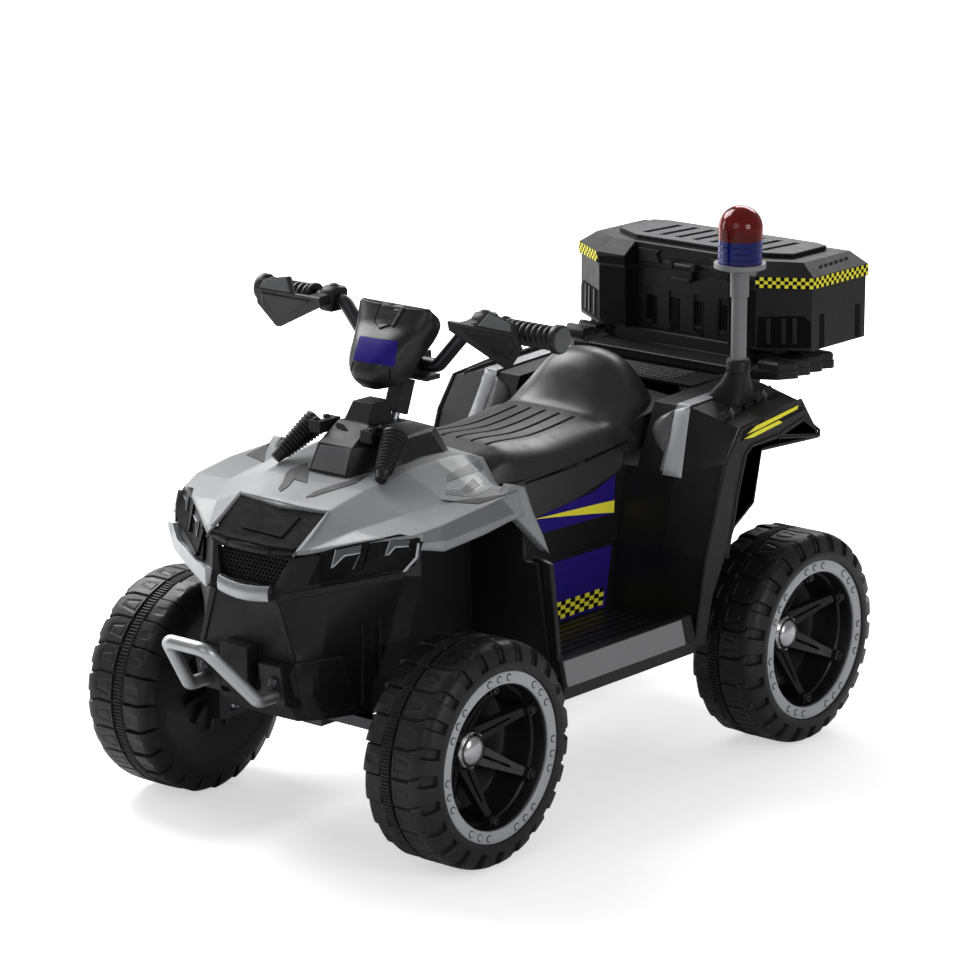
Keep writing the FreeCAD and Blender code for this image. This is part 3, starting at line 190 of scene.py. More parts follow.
def metal(name, screen, rough, tone=0.12, round_mm=0.8):
    """Bright metal or metallic paint with fine grain and a few dull patches."""
    n = Nodes(name)
    n.feed(n.drift(n.noise(DULL_SCALE, 3.0), srgb(*screen), 1 - tone, 1 + tone * 0.5), "Base Color")
    lines = n.noise(BRUSH_SCALE, 3.0, 0.6)
    n.feed(n.span(lines, 0.3, 0.7, max(0.05, rough - 0.04), rough + 0.06), "Roughness")
    n.bump(lines, BRUSH_DEPTH, BRUSH_BUMP, round_mm)
    n.set(Metallic=1.0)
    return n.mat


def tinted(name, screen, rough, weight):
    """Clear coloured lamp plastic with a faint ripple."""
    n = Nodes(name)
    n.feed(n.drift(n.noise(STREAK_SCALE), srgb(*screen), 0.88, 1.1), "Base Color")
    n.feed(n.span(n.noise(HAZE_SCALE, 4.0), 0.3, 0.7, rough, rough + 0.06), "Roughness")
    n.bump(n.noise(RIPPLE_SCALE), RIPPLE_DEPTH, RIPPLE_BUMP)
    n.set(Transmission_Weight=weight, IOR=LENS_IOR, Specular_IOR_Level=LENS_SHEEN)
    return n.mat


# Plastics: name, colour, roughness, grain scale and depth, tone drift, edge wear and painted edge
# highlight, corner radius in mm, sheen, and for the lid a painted sheen on its top
# Height and colour of the lid's lighter top face: painted sheen
LID_TOP_PAINTED_SHEEN = (613.5, (72, 72, 75))
PLASTICS = {
    "body_grey": ("satin_grey_plastic", (139, 140, 142), 0.38, 1100, 0.04, 0.04, 1.15, 7.0, 0.45),
    "body_black": ("grained_black_plastic", (21, 21, 22), 0.42, 800, 0.08, 0.16, 1.9, 2.0, 0.26),
    "seat_black": ("seat_black_plastic", (40, 40, 41), 0.36, 900, 0.05, 0.10, 1.4, 1.2, 0.42),
    "lid_black": ("box_black_plastic", (24, 24, 26), 0.40, 700, 0.07, 0.14, 1.8, 2.4, 0.22),
    # The lid's plastic, lighter on its top face: painted sheen
    "lid_with_painted_sheen": ("lid_black_with_painted_sheen_plastic", (22, 22, 24), 0.42, 700, 0.07, 0.14, 1.8, 1.2, 0.20, LID_TOP_PAINTED_SHEEN),
    "guard_grey": ("guard_black_plastic", (19, 19, 20), 0.36, 1000, 0.06, 0.10, 1.6, 1.6, 0.34),
    # Grey of the hand guards' upper panels and the grip ends, also used as painted highlight on the pod
    "guard_panel_and_painted_highlight": ("guard_grey_and_painted_highlight_plastic", (82, 83, 84), 0.40, 1000, 0.06, 0.08, 1.3, 0.8, 0.4),
    "trim_grey": ("trim_grey_plastic", (122, 121, 123), 0.38, 1000, 0.04, 0.05, 1.2, 1.0, 0.4),
    "lamp_clear": ("lamp_gloss_black", (8, 8, 9), 0.3, 600, 0.01, 0.08, 1.5, 1.0, 0.10),
    "mesh_black": ("mesh_black_plastic", (26, 26, 28), 0.42, 900, 0.06, 0.12, 1.8, 0.4, 0.4),
    # Near-black for seams and dark inner parts, and for painted shade in hollows, slots, grooves and behind
    # openings
    "deep_black": ("dark_part_and_painted_shade_black", (10, 10, 11), 0.7, 700, 0.05, 0.1, 1.2, 0.4, 0.1),
    "rubber_black": ("rubber_black", (22, 22, 23), 0.40, 600, 0.08, 0.12, 1.6, 0.5, 0.42),
    "gear_white": ("gear_nylon", (222, 220, 210), 0.45),
    "drive_black": ("drive_black_plastic", (26, 26, 28), 0.5, 800, 0.08, 0.12, 1.6, 1.0, 0.25),
    "switch_red": ("switch_red_plastic", (178, 24, 30), 0.35),
    "switch_grey": ("switch_grey_plastic", (120, 122, 126), 0.38),
    "tyre": ("tyre_black_plastic", (25, 25, 26), 0.42, 750, 0.09, 0.16, 2.0, 0.7, 0.34),
    "rim_black": ("rim_black_plastic", (20, 20, 21), 0.36, 800, 0.06, 0.14, 1.8, 0.8, 0.36),
    "ring_silver": ("ring_grey_paint", (170, 171, 174), 0.36, 1000, 0.04, 0.05, 1.15, 0.8, 0.45),
    "decal_blue": ("decal_blue_film", (44, 30, 122), 0.45, 500, 0.01, 0.04, 1.05, 0.2, 0.06),
    "decal_yellow": ("decal_yellow_film", (252, 242, 70), 0.45, 500, 0.01, 0.03, 1.03, 0.2, 0.06),
    "decal_black": ("decal_black_film", (20, 19, 24), 0.45, 500, 0.01, 0.06, 1.1, 0.2, 0.06),
    "pod_black": ("pod_black_plastic", (15, 15, 16), 0.36, 900, 0.02, 0.08, 1.4, 1.2, 0.5),
    # Dark grey for the hood's slashes: painted shade of recessed slashes
    "slash_painted_shade": ("slash_painted_shade_plastic", (60, 60, 62), 0.48, 1000, 0.05, 0.06, 1.3, 0.8, 0.3),
    # Lighter copy of the hood grey: painted highlight on a lit facet and on the hood's opening edge
    "hood_painted_highlight": ("hood_painted_highlight_plastic", (156, 157, 159), 0.38, 1100, 0.04, 0.04, 1.1, 0.8, 0.45),
    # Darker grey of the fender side panels, also used as painted shade in the hood's rear folds
    "fender_grey_and_painted_shade": ("fender_panel_and_painted_shade_plastic", (108, 109, 111), 0.42, 1000, 0.05, 0.05, 1.2, 0.8, 0.4),
    # Mid grey for the pedestal's front face: painted light on a face of black plastic
    "pedestal_painted_light": ("pedestal_painted_light_plastic", (88, 88, 90), 0.42, 1000, 0.05, 0.08, 1.3, 0.8, 0.3),
    "side_grey": ("side_panel_plastic", (50, 50, 51), 0.38, 900, 0.06, 0.08, 1.4, 1.2, 0.36),
    # Lighter grey for the thigh bulges: painted highlight on a black bulge
    "bulge_painted_highlight": ("bulge_painted_highlight_plastic", (84, 84, 86), 0.36, 1000, 0.04, 0.06, 1.2, 1.0, 0.4),
}
# Metals: name, colour, roughness, tone drift, corner radius in mm
METALS = {
    "trim_silver": ("silver_paint", (176, 177, 180), 0.34, 0.06),
    "bright_steel": ("bright_bumper_steel", (184, 185, 187), 0.38, 0.03, 0.1),
    "tube_dark": ("dark_tube_paint", (74, 74, 77), 0.36, 0.10),
    "steel": ("plain_steel", (168, 170, 174), 0.30),
    "motor_can": ("motor_zinc", (176, 178, 182), 0.32),
    "lamp_mirror": ("lamp_mirror", (70, 71, 73), 0.22, 0.05, 0.4),
    # Brighter copy of the lamp mirror: painted highlight along the reflector edges
    "lamp_painted_highlight": ("lamp_painted_highlight", (140, 141, 144), 0.2, 0.05, 0.4),
    "cap_silver": ("cap_silver", (190, 190, 192), 0.24, 0.05),
}
# Lamp plastics: name, colour, roughness, share of the light let through
LENSES = {
    "lens_red": ("red_lamp_plastic", (140, 0, 5), 0.06, 0.8),
    "lens_blue": ("blue_lamp_plastic", (18, 38, 164), 0.06, 0.8),
}
MATS = {}
for make_one, table in ((moulded, PLASTICS), (metal, METALS), (tinted, LENSES)):
    MATS.update((key, make_one(*row)) for key, row in table.items())

# The badge panel is drawn near-black: painted shade of its recess
NODE_LOOKS = {"beacon_lamp": "deep_black", "badge_panel": "deep_black", "trunk_lid": "lid_with_painted_sheen"}
for name, obj in NODES.items():
    obj.data.materials.clear()
    obj.data.materials.append(MATS[NODE_LOOKS.get(name, SLOT_OF[name])])


# Mesh helpers

def new_obj(name, verts, faces, mat):
    """A mesh object from points in millimetres."""
    me = bpy.data.meshes.new(name)
    me.from_pydata([(x * MM, y * MM, z * MM) for x, y, z in verts], [], faces)
    me.validate()
    bm = bmesh.new()
    bm.from_mesh(me)
    bmesh.ops.recalc_face_normals(bm, faces=bm.faces)
    bm.to_mesh(me)
    bm.free()
    me.materials.append(mat)
    return link(bpy.data.objects.new(name, me))


def link(ob):
    bpy.context.scene.collection.objects.link(ob)
    return ob


def put(ob, body, slot, *nodes):
    """Says which body a piece rides on and hides the CAD nodes that it replaces; slot is not used."""
    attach(ob, body)
    if nodes:
        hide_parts(*nodes)
    return ob


def mirrored(points):
    return [(-x, y, z) for x, y, z in points]


def shrink(points, k):
    """Points drawn toward their middle."""
    mid = sum((Vector(p) for p in points), Vector()) / len(points)
    return [mid + (Vector(p) - mid) * k for p in points]


def superround(angle, half_x, half_y, power):
    """A point of a rounded box: power 1 is an ellipse, and less is squarer."""
    c, s = math.cos(angle), math.sin(angle)
    return half_x * math.copysign(abs(c) ** power, c), half_y * math.copysign(abs(s) ** power, s)


class Mesh:
    """Gathers points and faces of several shapes, in millimetres."""

    def __init__(self):
        self.v = []
        self.f = []

    def add(self, verts, faces, matrix=None):
        k = len(self.v)
        if matrix is not None:
            verts = [matrix @ Vector(p) for p in verts]
        self.v += [tuple(p) for p in verts]
        self.f += [tuple(i + k for i in f) for f in faces]
        return self

    def rings(self, rings, matrix=None, caps=True):
        """Joins closed rings of equal length, one after the other."""
        m = len(rings[0])
        last = (len(rings) - 1) * m
        faces = []
        for i in range(len(rings) - 1):
            for j in range(m):
                a, b = i * m + j, i * m + (j + 1) % m
                faces.append((a, b, b + m, a + m))
        if caps:
            faces.append(tuple(range(m - 1, -1, -1)))
            faces.append(tuple(range(last, last + m)))
        return self.add([p for r in rings for p in r], faces, matrix)

    def twins(self, rings):
        """Joined rings and their mirror image on the other side."""
        self.rings(rings)
        return self.rings([mirrored(r) for r in rings])

    def lathe(self, profile, count, axis="x", matrix=None, closed=False):
        """Turns (along, radius) points about an axis; a closed profile comes back to its start."""
        rings = []
        for along, radius in profile + profile[:1] if closed else profile:
            ring = []
            for k in range(count):
                c, s = radius * math.cos(TAU * k / count), radius * math.sin(TAU * k / count)
                ring.append({"x": (along, c, s), "z": (c, s, along)}[axis])
            rings.append(ring)
        return self.rings(rings, matrix, not closed)

    def prism(self, poly, height, chamfer):
        """An upright block on a flat outline, with a chamfered top edge."""
        poly = [Vector(p) for p in poly]
        mid = sum(poly, Vector()) / len(poly)
        up = Vector((0, 0, 1))
        top = [p + up * height + (mid - p).normalized() * chamfer for p in poly]
        return self.rings([poly, [p + up * (height - chamfer) for p in poly], top])

    def block(self, lo, hi, chamfer, matrix=None):
        """A box with chamfered lower and upper edges."""
        (x0, y0, z0), (x1, y1, z1) = lo, hi

        def ring(z, k):
            corners = ((x0 + k, y0 + k), (x1 - k, y0 + k), (x1 - k, y1 - k), (x0 + k, y1 - k))
            return [(x, y, z) for x, y in corners]
        levels = ((z0, chamfer), (z0 + chamfer, 0), (z1 - chamfer, 0), (z1, chamfer))
        return self.rings([ring(z, k) for z, k in levels], matrix)

    def tube(self, path, radius, count):
        """A round tube along points."""
        path = [Vector(p) for p in path]
        rings = []
        side = (path[1] - path[0]).normalized().orthogonal().normalized()
        for i, p in enumerate(path):
            t = (path[min(len(path) - 1, i + 1)] - path[max(0, i - 1)]).normalized()
            side = (side - t * side.dot(t)).normalized()
            up = t.cross(side)
            turns = [TAU * k / count for k in range(count)]
            rings.append([p + (side * math.cos(a) + up * math.sin(a)) * radius for a in turns])
        return self.rings(rings)

    def make(self, name, mat, angle=None):
        """The object, smooth up to an angle between faces where one is given."""
        ob = new_obj(name, self.v, self.f, MATS[mat])
        if angle is not None:
            ob.data.shade_smooth()
            ob.data.set_sharp_from_angle(angle=math.radians(angle))
        return ob


# Places seen from the camera

VIEW_AZ = math.radians(39.918)
VIEW_EL = math.radians(14.411)
VIEW_AT = Vector((0, -0.022635, 0.375988))
VIEW_FAR = 5.276428
VIEW_F = 4154.336
FRAME_MID = 480
VIEW_FLAT = math.cos(VIEW_EL)
BACK = Vector((math.sin(VIEW_AZ) * VIEW_FLAT, -math.cos(VIEW_AZ) * VIEW_FLAT, math.sin(VIEW_EL)))
RIGHT = Vector((math.cos(VIEW_AZ), math.sin(VIEW_AZ), 0))
EYE = VIEW_AT + BACK * VIEW_FAR
SIDEWAYS = Vector((1, 0, 0))


class Crop:
    """An enlarged part of the view: outlines written in its pixels come back in the view's own."""

    def __init__(self, left, top, zoom):
        self.left = left
        self.top = top
        self.zoom = zoom

    def __call__(self, *points):
        return [(self.left + x / self.zoom, self.top + y / self.zoom) for x, y in points]


SEAM = Crop(500, 380, 2.923)
POD = Crop(240, 260, 4.612)
PANEL = Crop(330, 280, 5.846)
NOSE = Crop(160, 440, 5.407)
LIP = Crop(160, 420, 2.714)
REAR = Crop(420, 430, 5.4286)
PEDESTAL = Crop(270, 380, 7.84)
PLATE = Crop(250, 380, 3.8)
SIDE = Crop(420, 470, 5.227)
BODY = Crop(420, 330, 2.533)
TAIL = Crop(620, 330, 5.81)
SHIN = Crop(620, 330, 3.4545)
BOX = Crop(565, 190, 4.9)
FRONT = Crop(560, 190, 2.303)
CORNER = Crop(560, 200, 3.8)


def tree_of(*names):
    """The surfaces of these CAD nodes or pieces, to look for a place on them."""
    verts, polys = [], []
    for name in names:
        ob = NODES[name] if name in NODES else bpy.data.objects[name]
        k = len(verts)
        verts += [tuple(ob.matrix_world @ v.co) for v in ob.data.vertices]
        polys += [tuple(i + k for i in p.vertices) for p in ob.data.polygons]
    return BVHTree.FromPolygons(verts, polys)


def ray(u, v):
    up = BACK.cross(RIGHT)
    return (-BACK * VIEW_F + RIGHT * (u - FRAME_MID) - up * (v - FRAME_MID)).normalized()


def sight(tree, u, v):
    """Where a line of sight meets the surfaces, in mm, and the normal there, or None for both."""
    place, normal, _, _ = tree.ray_cast(EYE, ray(u, v))
    if place is None:
        return None, None
    return place / MM, -normal if normal.dot(BACK) < 0 else normal


def gridded(outline, cell):
    """The outline as a flat mesh, cut along a grid."""
    bm = bmesh.new()
    bm.faces.new([bm.verts.new((u, v, 0)) for u, v in outline])
    for axis in (0, 1):
        high = max(p[axis] for p in outline)
        line = math.floor(min(p[axis] for p in outline) / cell) + 1
        while line * cell < high:
            place, normal = [0, 0, 0], [0, 0, 0]
            place[axis] = line * cell
            normal[axis] = 1
            everything = bm.verts[:] + bm.edges[:] + bm.faces[:]
            bmesh.ops.bisect_plane(bm, geom=everything, plane_co=place, plane_no=normal)
            line += 1
    bm.verts.ensure_lookup_table()
    return bm


def domed(bm, outline, dome):
    """How high each point of a flat mesh stands when it is domed inside its outline."""
    corners = [Vector((u, v, 0)) for u, v in outline]
    gaps = []
    for v in bm.verts:
        ways = []
        for a, b in zip(corners, corners[1:] + corners[:1]):
            t = min(1.0, max(0.0, (v.co - a).dot(b - a) / (b - a).length_squared))
            ways.append((v.co - a.lerp(b, t)).length)
        gaps.append(min(ways))
    return [dome * math.sqrt(1 - (1 - g / max(gaps)) ** 2) for g in gaps]


def patch(mesh, outline, tree, lift, sink, cell, mirror=False, taper=0.0, dome=0.0):
    """A piece laid on a surface where the outline shows on it: lift mm proud, sink mm into it."""
    bm = gridded(outline, cell)
    seen = [sight(tree, v.co.x, v.co.y) for v in bm.verts]
    known = [(v.co, place) for v, (place, _) in zip(bm.verts, seen) if place is not None]
    normal = sum((n for _, n in seen if n is not None), Vector()).normalized()
    spots = []
    for v, (place, _) in zip(bm.verts, seen):
        spots.append(place or min(known, key=lambda spot: (spot[0] - v.co).length)[1])
    n = len(spots)
    mid = sum(spots, Vector()) / n
    rise = domed(bm, outline, dome) if dome else [0.0] * n
    top = [s + normal * (lift + h) + (mid - s) * taper for s, h in zip(spots, rise)]
    low = [s - normal * sink for s in spots]
    faces = [tuple(v.index for v in f.verts) for f in bm.faces]
    rim = [tuple(v.index for v in e.verts) for e in bm.edges if len(e.link_faces) == 1]
    faces += [tuple(i + n for i in reversed(f)) for f in faces]
    faces += [(a, b, b + n, a + n) for a, b in rim]
    bm.free()
    mesh.add(top + low, faces)
    if mirror:
        mesh.add(mirrored(top + low), faces)


def inlay(name, mat, slot, tree, outlines, body="chassis", angle=None, **how):
    """One piece made of patches on a surface."""
    m = Mesh()
    for outline in outlines:
        patch(m, outline, tree, **how)
    return put(m.make(name, mat, angle), body, slot)


def tab(mesh, corners, tree, lift, sink, taper=0.0):
    """A small piece between four places of the view on a surface, and its twin on the other side."""
    seen = [sight(tree, u, v) for u, v in corners]
    spots = [place for place, _ in seen]
    if None in spots:
        return
    normal = sum((n for _, n in seen), Vector()).normalized()
    mid = sum(spots, Vector()) / len(spots)
    top = [p + normal * lift + (mid - p) * taper for p in spots]
    mesh.twins([[p - normal * sink for p in spots], top])


def on_plane(outline, place, normal):
    """Where the lines of sight through these places meet a plane."""
    spots = []
    for u, v in outline:
        d = ray(u, v)
        spots.append((EYE + d * ((Vector(place) * MM - EYE).dot(normal) / d.dot(normal))) / MM)
    return spots


PLATE_CHAMFER, PLATE_INSET = 0.5, 0.985


def facing_plate(mesh, outline, place, normal, lift, sink, sides=(1, -1)):
    """A flat plate that shows this outline, on a plane, and its twin on the other side."""
    spots = on_plane(outline, place, normal)
    rings = [[p - normal * sink for p in spots], [p + normal * (lift - PLATE_CHAMFER) for p in spots],
             [p + normal * lift for p in shrink(spots, PLATE_INSET)]]
    for k in sides:
        mesh.rings([[(k * p.x, p.y, p.z) for p in r] for r in rings])


def wall_piece(mesh, outline, x, lift, sink=0.4):
    """A thin plate on the upright plane at x, and its twin on the other side."""
    spots = on_plane(outline, (x, 0, 0), SIDEWAYS)
    mesh.twins([[(x + k, p.y, p.z) for p in spots] for k in (-sink, lift)])


def bead(mesh, line, x, radius):
    """A round bead along a line on the upright plane at x, and its twin."""
    path = on_plane(line, (x, 0, 0), SIDEWAYS)
    mesh.tube(path, radius, 10)
    mesh.tube(mirrored(path), radius, 10)


def along(start, end):
    """A frame whose X axis runs from start to end."""
    d = (Vector(end) - Vector(start)).normalized()
    return Matrix.Translation(start) @ d.to_track_quat("X", "Z").to_matrix().to_4x4()


def curve(keys, t):
    """Smooth line through (t, values) keys."""
    i = 0
    while i < len(keys) - 2 and t > keys[i + 1][0]:
        i += 1
    (t0, a), (t1, b) = keys[i], keys[i + 1]
    before = keys[max(0, i - 1)]
    after = keys[min(len(keys) - 1, i + 2)]
    k = (t - t0) / (t1 - t0)

    def one(pa, a, b, pb):
        ma = (b - pa) / max(1e-6, t1 - before[0]) * (t1 - t0)
        mb = (pb - a) / max(1e-6, after[0] - t0) * (t1 - t0)
        return ((2 * k**3 - 3 * k**2 + 1) * a + (k**3 - 2 * k**2 + k) * ma + (3 * k**2 - 2 * k**3) * b
                + (k**3 - k**2) * mb)
    if isinstance(a, tuple):
        return tuple(one(*q) for q in zip(before[1], a, b, after[1]))
    return one(before[1], a, b, after[1])


# Wheels: sizes along the axle start at the inner face of the tyre

WHEEL_R = 140.0
WHEEL_IN = 175.0
AXLE_Y = 320.5
AXLE_Z = 140.0
PITCHES, PITCH_STEPS = 24, 32
TYRE_INNER = [(1.5, 96), (0.4, 100), (0.0, 104), (0.0, 110), (0.0, 116), (0.8, 120), (2.0, 124), (3.6, 128),
              (5.6, 132), (7.6, 134.8), (10, 137.2), (13, 139), (17, 139.8)]
CROWN_ROWS = (22, 27, 32, 35, 35.8, 37.0, 37.8, 39, 43, 47, 50.2, 51.2, 52.0, 54.0, 54.8, 56, 59, 60.2,
              61.4, 65, 69, 73, 77, 78.2, 79.4, 83)
TYRE_OUTER = [(87, 139.8), (91, 139.4), (94, 138.6), (97, 137.4), (99.5, 135.8), (101.6, 133.6),
              (103.4, 131), (105, 128), (106.3, 124.6), (107.2, 121.4), (107.9, 118.6), (108.4, 117.2),
              (109, 115.8), (109, 112), (109, 108.5), (108.4, 106.6), (106.4, 105.6), (104, 105.4)]
TREAD_R, SHOULDER_R, CROWN_R = 118, 121, 136.5
STEP_END, LINE_END, RIB_END = 36, 38, 51
GROOVE_FROM, GROOVE_TO = 51.6, 55
WEDGE_FROM, WEDGE_TO = 60, 79.6
OUTER_BLOCKS = 97
STEP_DEEP, STEP_LOW, STEP_GAP = 3.0, 1.2, 2.4
DIMPLE_FROM, DIMPLE_TO, DIMPLE_DEEP = 14, 30, 0.9
LINE_DEEP, TOOTH_DEEP, TEETH_PER_PITCH, GROOVE_CUT = 2.6, 1.9, 16, 3.6
HOOK_FROM, HOOK_LEAN, SIPE_DEEP, WEDGE_DEEP, LUG_DEEP = 80, 0.012, 2.8, 0.9, 5.2
WEDGE_HALF, WEDGE_NARROWS = 0.26, 0.005


def soft(a, b, x):
    t = min(1.0, max(0.0, (x - a) / (b - a)))
    return t * t * (3 - 2 * t)


def slot(a, b, c, d, x):
    """1 between b and c, and 0 outside a and d, with soft sides."""
    return soft(a, b, x) * (1 - soft(c, d, x))


def tread(x, r, f):
    """How deep the tread is cut at this place; f runs from 0 to 1 over one pitch."""
    if r < TREAD_R:
        return 0.0
    if x < STEP_END:
        deep = (STEP_DEEP if r > SHOULDER_R else STEP_LOW) * f + STEP_GAP * slot(0.90, 0.94, 0.97, 1.0, f)
        if DIMPLE_FROM < x < DIMPLE_TO:
            deep += DIMPLE_DEEP * slot(0.30, 0.36, 0.58, 0.64, f)
        return deep
    if x < LINE_END:
        return LINE_DEEP
    if x < RIB_END:
        return TOOTH_DEEP if int(f * TEETH_PER_PITCH) % 2 else 0.0
    if GROOVE_FROM < x < GROOVE_TO:
        return GROOVE_CUT
    if x < OUTER_BLOCKS and r > CROWN_R:
        hook = max(0.0, x - HOOK_FROM) * HOOK_LEAN
        deep = SIPE_DEEP * slot(0.455, 0.475, 0.525, 0.545, (f + 0.5 - hook) % 1.0)
        if WEDGE_FROM < x < WEDGE_TO:
            wide = WEDGE_HALF - WEDGE_NARROWS * (x - WEDGE_FROM)
            off = abs(f - 0.5)
            inside = WEDGE_FROM + 1 < x < WEDGE_TO - 1
            core = 1 - soft(wide - 0.10, wide - 0.06, off) if inside else 0.0
            deep = max(deep, WEDGE_DEEP * (1 - soft(wide - 0.02, wide + 0.02, off)) * (1 - core))
        return deep
    return LUG_DEEP * slot(0.02, 0.06, 0.40, 0.44, (f + 0.19) % 1.0)


def tyre_mesh():
    """The tyre's profile turned about the axle, with the tread cut into it."""
    count = PITCHES * PITCH_STEPS
    profile = TYRE_INNER + [(x, WHEEL_R) for x in CROWN_ROWS] + TYRE_OUTER
    rings = []
    for i, (x, r) in enumerate(profile):
        x0, r0 = profile[max(0, i - 1)]
        x1, r1 = profile[min(len(profile) - 1, i + 1)]
        k = math.hypot(x1 - x0, r1 - r0)
        nx, nr = (r0 - r1) / k, (x1 - x0) / k
        ring = []
        for j in range(count):
            a = TAU * j / count
            d = tread(x, r, ((j / PITCH_STEPS) % 1.0 + 1e-6) % 1.0)
            ring.append((WHEEL_IN + x - d * nx, (r - d * nr) * math.sin(a), (r - d * nr) * math.cos(a)))
        rings.append(ring)
    return Mesh().rings(rings, None, False)


RIM_DISH = [(8, 20), (8, 60), (5, 66), (5, 84), (1.5, 92), (1.5, 101), (20, 102), (60, 103), (99, 103.5),
            (101, 97), (102.4, 91.5), (101, 89.5), (96, 88), (86, 86.6), (84, 84.4), (70, 82), (52, 78.5),
            (48, 76), (45, 70), (44, 44), (47, 30), (47, 20)]
RIM_HUB = [(6, 19.6), (47, 19.6), (50, 23), (54, 23), (56, 20), (57, 8.2), (6, 8.2)]
SPOKES, SPOKE_THICK = 6, 9
# Rows of half a spoke: distance from the axle, distance along it, inner edge and outer edge
SPOKE_ROWS = [(17, 50, 0.0, 15.0), (25, 54, 0.0, 12.6), (27, 55, 1.8, 12.2), (60, 76, 1.5, 7.4),
              (63, 78, 0.0, 7.0), (76, 88, 0.0, 5.6), (86, 93, 0.0, 5.6)]
SPOKE_FOOT = ((82, -7.0, 76), (96.5, 7.0, 88.2))
RIM_BOLT, RIM_BOLT_R = [(96, 5.6), (98.5, 5.6), (100.2, 4.4), (100.2, 2.6), (98.8, 2.4)], 82
INNER_RIBS, INNER_RIB = 12, ((4.0, -3.0, 26), (9.5, 3.0, 58))


def rim_mesh():
    """Dish, hub, split spokes that lean out to the barrel, their bolts and the ribs of the inner face."""
    m = Mesh()
    inner = Matrix.Translation((WHEEL_IN, 0, 0))
    m.lathe(RIM_DISH, 96, "x", inner, True)
    m.lathe(RIM_HUB, 48, "x", inner, True)
    for k in range(SPOKES):
        turn = inner @ Matrix.Rotation(TAU * k / SPOKES, 4, "X")
        for side in (-1, 1):
            rings = []
            for z, x, y0, y1 in SPOKE_ROWS:
                back, up = x - SPOKE_THICK, z + SPOKE_THICK * 0.5
                front = [(x, side * y0, z), (x, side * y1, z)]
                rings.append(front + [(back, side * y1, up), (back, side * y0, up)])
            m.rings(rings, turn)
        m.block(*SPOKE_FOOT, 1.2, turn)
        m.lathe(RIM_BOLT, 6, "x", turn @ Matrix.Translation((0, 0, RIM_BOLT_R)))
    for k in range(INNER_RIBS):
        m.block(*INNER_RIB, 0.8, inner @ Matrix.Rotation(TAU * (k + 0.5) / INNER_RIBS, 4, "X"))
    return m


RING_FACE = WHEEL_IN + 107
RING_PROFILE = [(-4.0, 90), (-1.6, 90), (-0.4, 91.2), (0, 92.6), (0, 103.4), (-0.5, 105), (-1.8, 105.7),
                (-4.0, 105.7)]
BOLT_PROFILE = [(-0.4, 3.5), (0.9, 3.5), (1.6, 2.8), (1.95, 1.3)]
# A flush near-black ring round each bolt: painted shadow at the bolt's edge
BOLT_SHADOW_RING = [(-0.4, 4.6), (0.15, 4.6), (0.15, 3.2), (-0.4, 3.2)]
BOLT_GROUPS, BOLT_START, BOLT_STEP, BOLT_R = 7, 0.04, math.radians(10.6), 98.2
CAP_SEAT = [(57, 24.4), (60.6, 24.4), (62.2, 22.8), (62.2, 19)]
CAP_DOME = [(57, 20.4), (61, 21), (62.6, 21), (63.2, 20.2), (64.0, 20), (65.2, 19.6), (66.6, 18.2),
            (68.2, 15.8), (69.6, 12.4), (70.5, 8.4), (70.9, 4.4), (71, 1.2)]


def round_ring(profile, count):
    """A small turned shape at each bolt of the ring: seven groups of three."""
    m = Mesh()
    for g in range(BOLT_GROUPS):
        for b in (-1, 0, 1):
            turn = Matrix.Rotation(TAU * (g + BOLT_START) / BOLT_GROUPS + b * BOLT_STEP, 4, "X")
            m.lathe(profile, count, "x", turn @ Matrix.Translation((RING_FACE, 0, BOLT_R)))
    return m


def cap_mesh():
    """Domed hub cap on an eight-sided seat."""
    inner = Matrix.Translation((WHEEL_IN, 0, 0))
    return Mesh().lathe(CAP_SEAT, 8, "x", inner).lathe(CAP_DOME, 64, "x", inner)


def place_wheels(label, mesh, mat, record_slot, node_stem, angle):
    """One mesh serves the four wheels; the right ones are turned half round."""
    first = mesh.make(label, mat, angle)
    for end, y in (("front", -AXLE_Y), ("rear", AXLE_Y)):
        for side in ("left", "right"):
            ob = first if first.name == label else link(bpy.data.objects.new(label, first.data))
            ob.name = f"{label}_{end}_{side}"
            turn = Matrix.Rotation(math.pi, 4, "Z") if side == "right" else Matrix.Identity(4)
            ob.matrix_world = Matrix.Translation((0, y * MM, AXLE_Z * MM)) @ turn
            nodes = [f"{node_stem}_{end}_{side}"] if node_stem else []
            put(ob, f"wheel_{end}_{side}", record_slot, *nodes)


bead_ring = Mesh().lathe(RING_PROFILE, 120, "x", Matrix.Translation((RING_FACE, 0, 0)), True)
place_wheels("moulded_tyre", tyre_mesh(), "tyre", "tyre", "tyre", 28)
place_wheels("spoked_rim", rim_mesh(), "rim_black", "rim_black", "rim", 30)
place_wheels("bead_ring", bead_ring, "ring_silver", "ring_silver", "wheel_trim", 30)
place_wheels("ring_bolts", round_ring(BOLT_PROFILE, 14), "ring_silver", "ring_silver", None, 35)
# Near-black rings round the ring bolts: painted shadow
place_wheels("bolt_seats", round_ring(BOLT_SHADOW_RING, 20), "deep_black", "ring_silver", None, 35)
place_wheels("hub_cap", cap_mesh(), "cap_silver", "ring_silver", None, 35)


# Seat: rows from front to back, each with points from the crown out to the seam

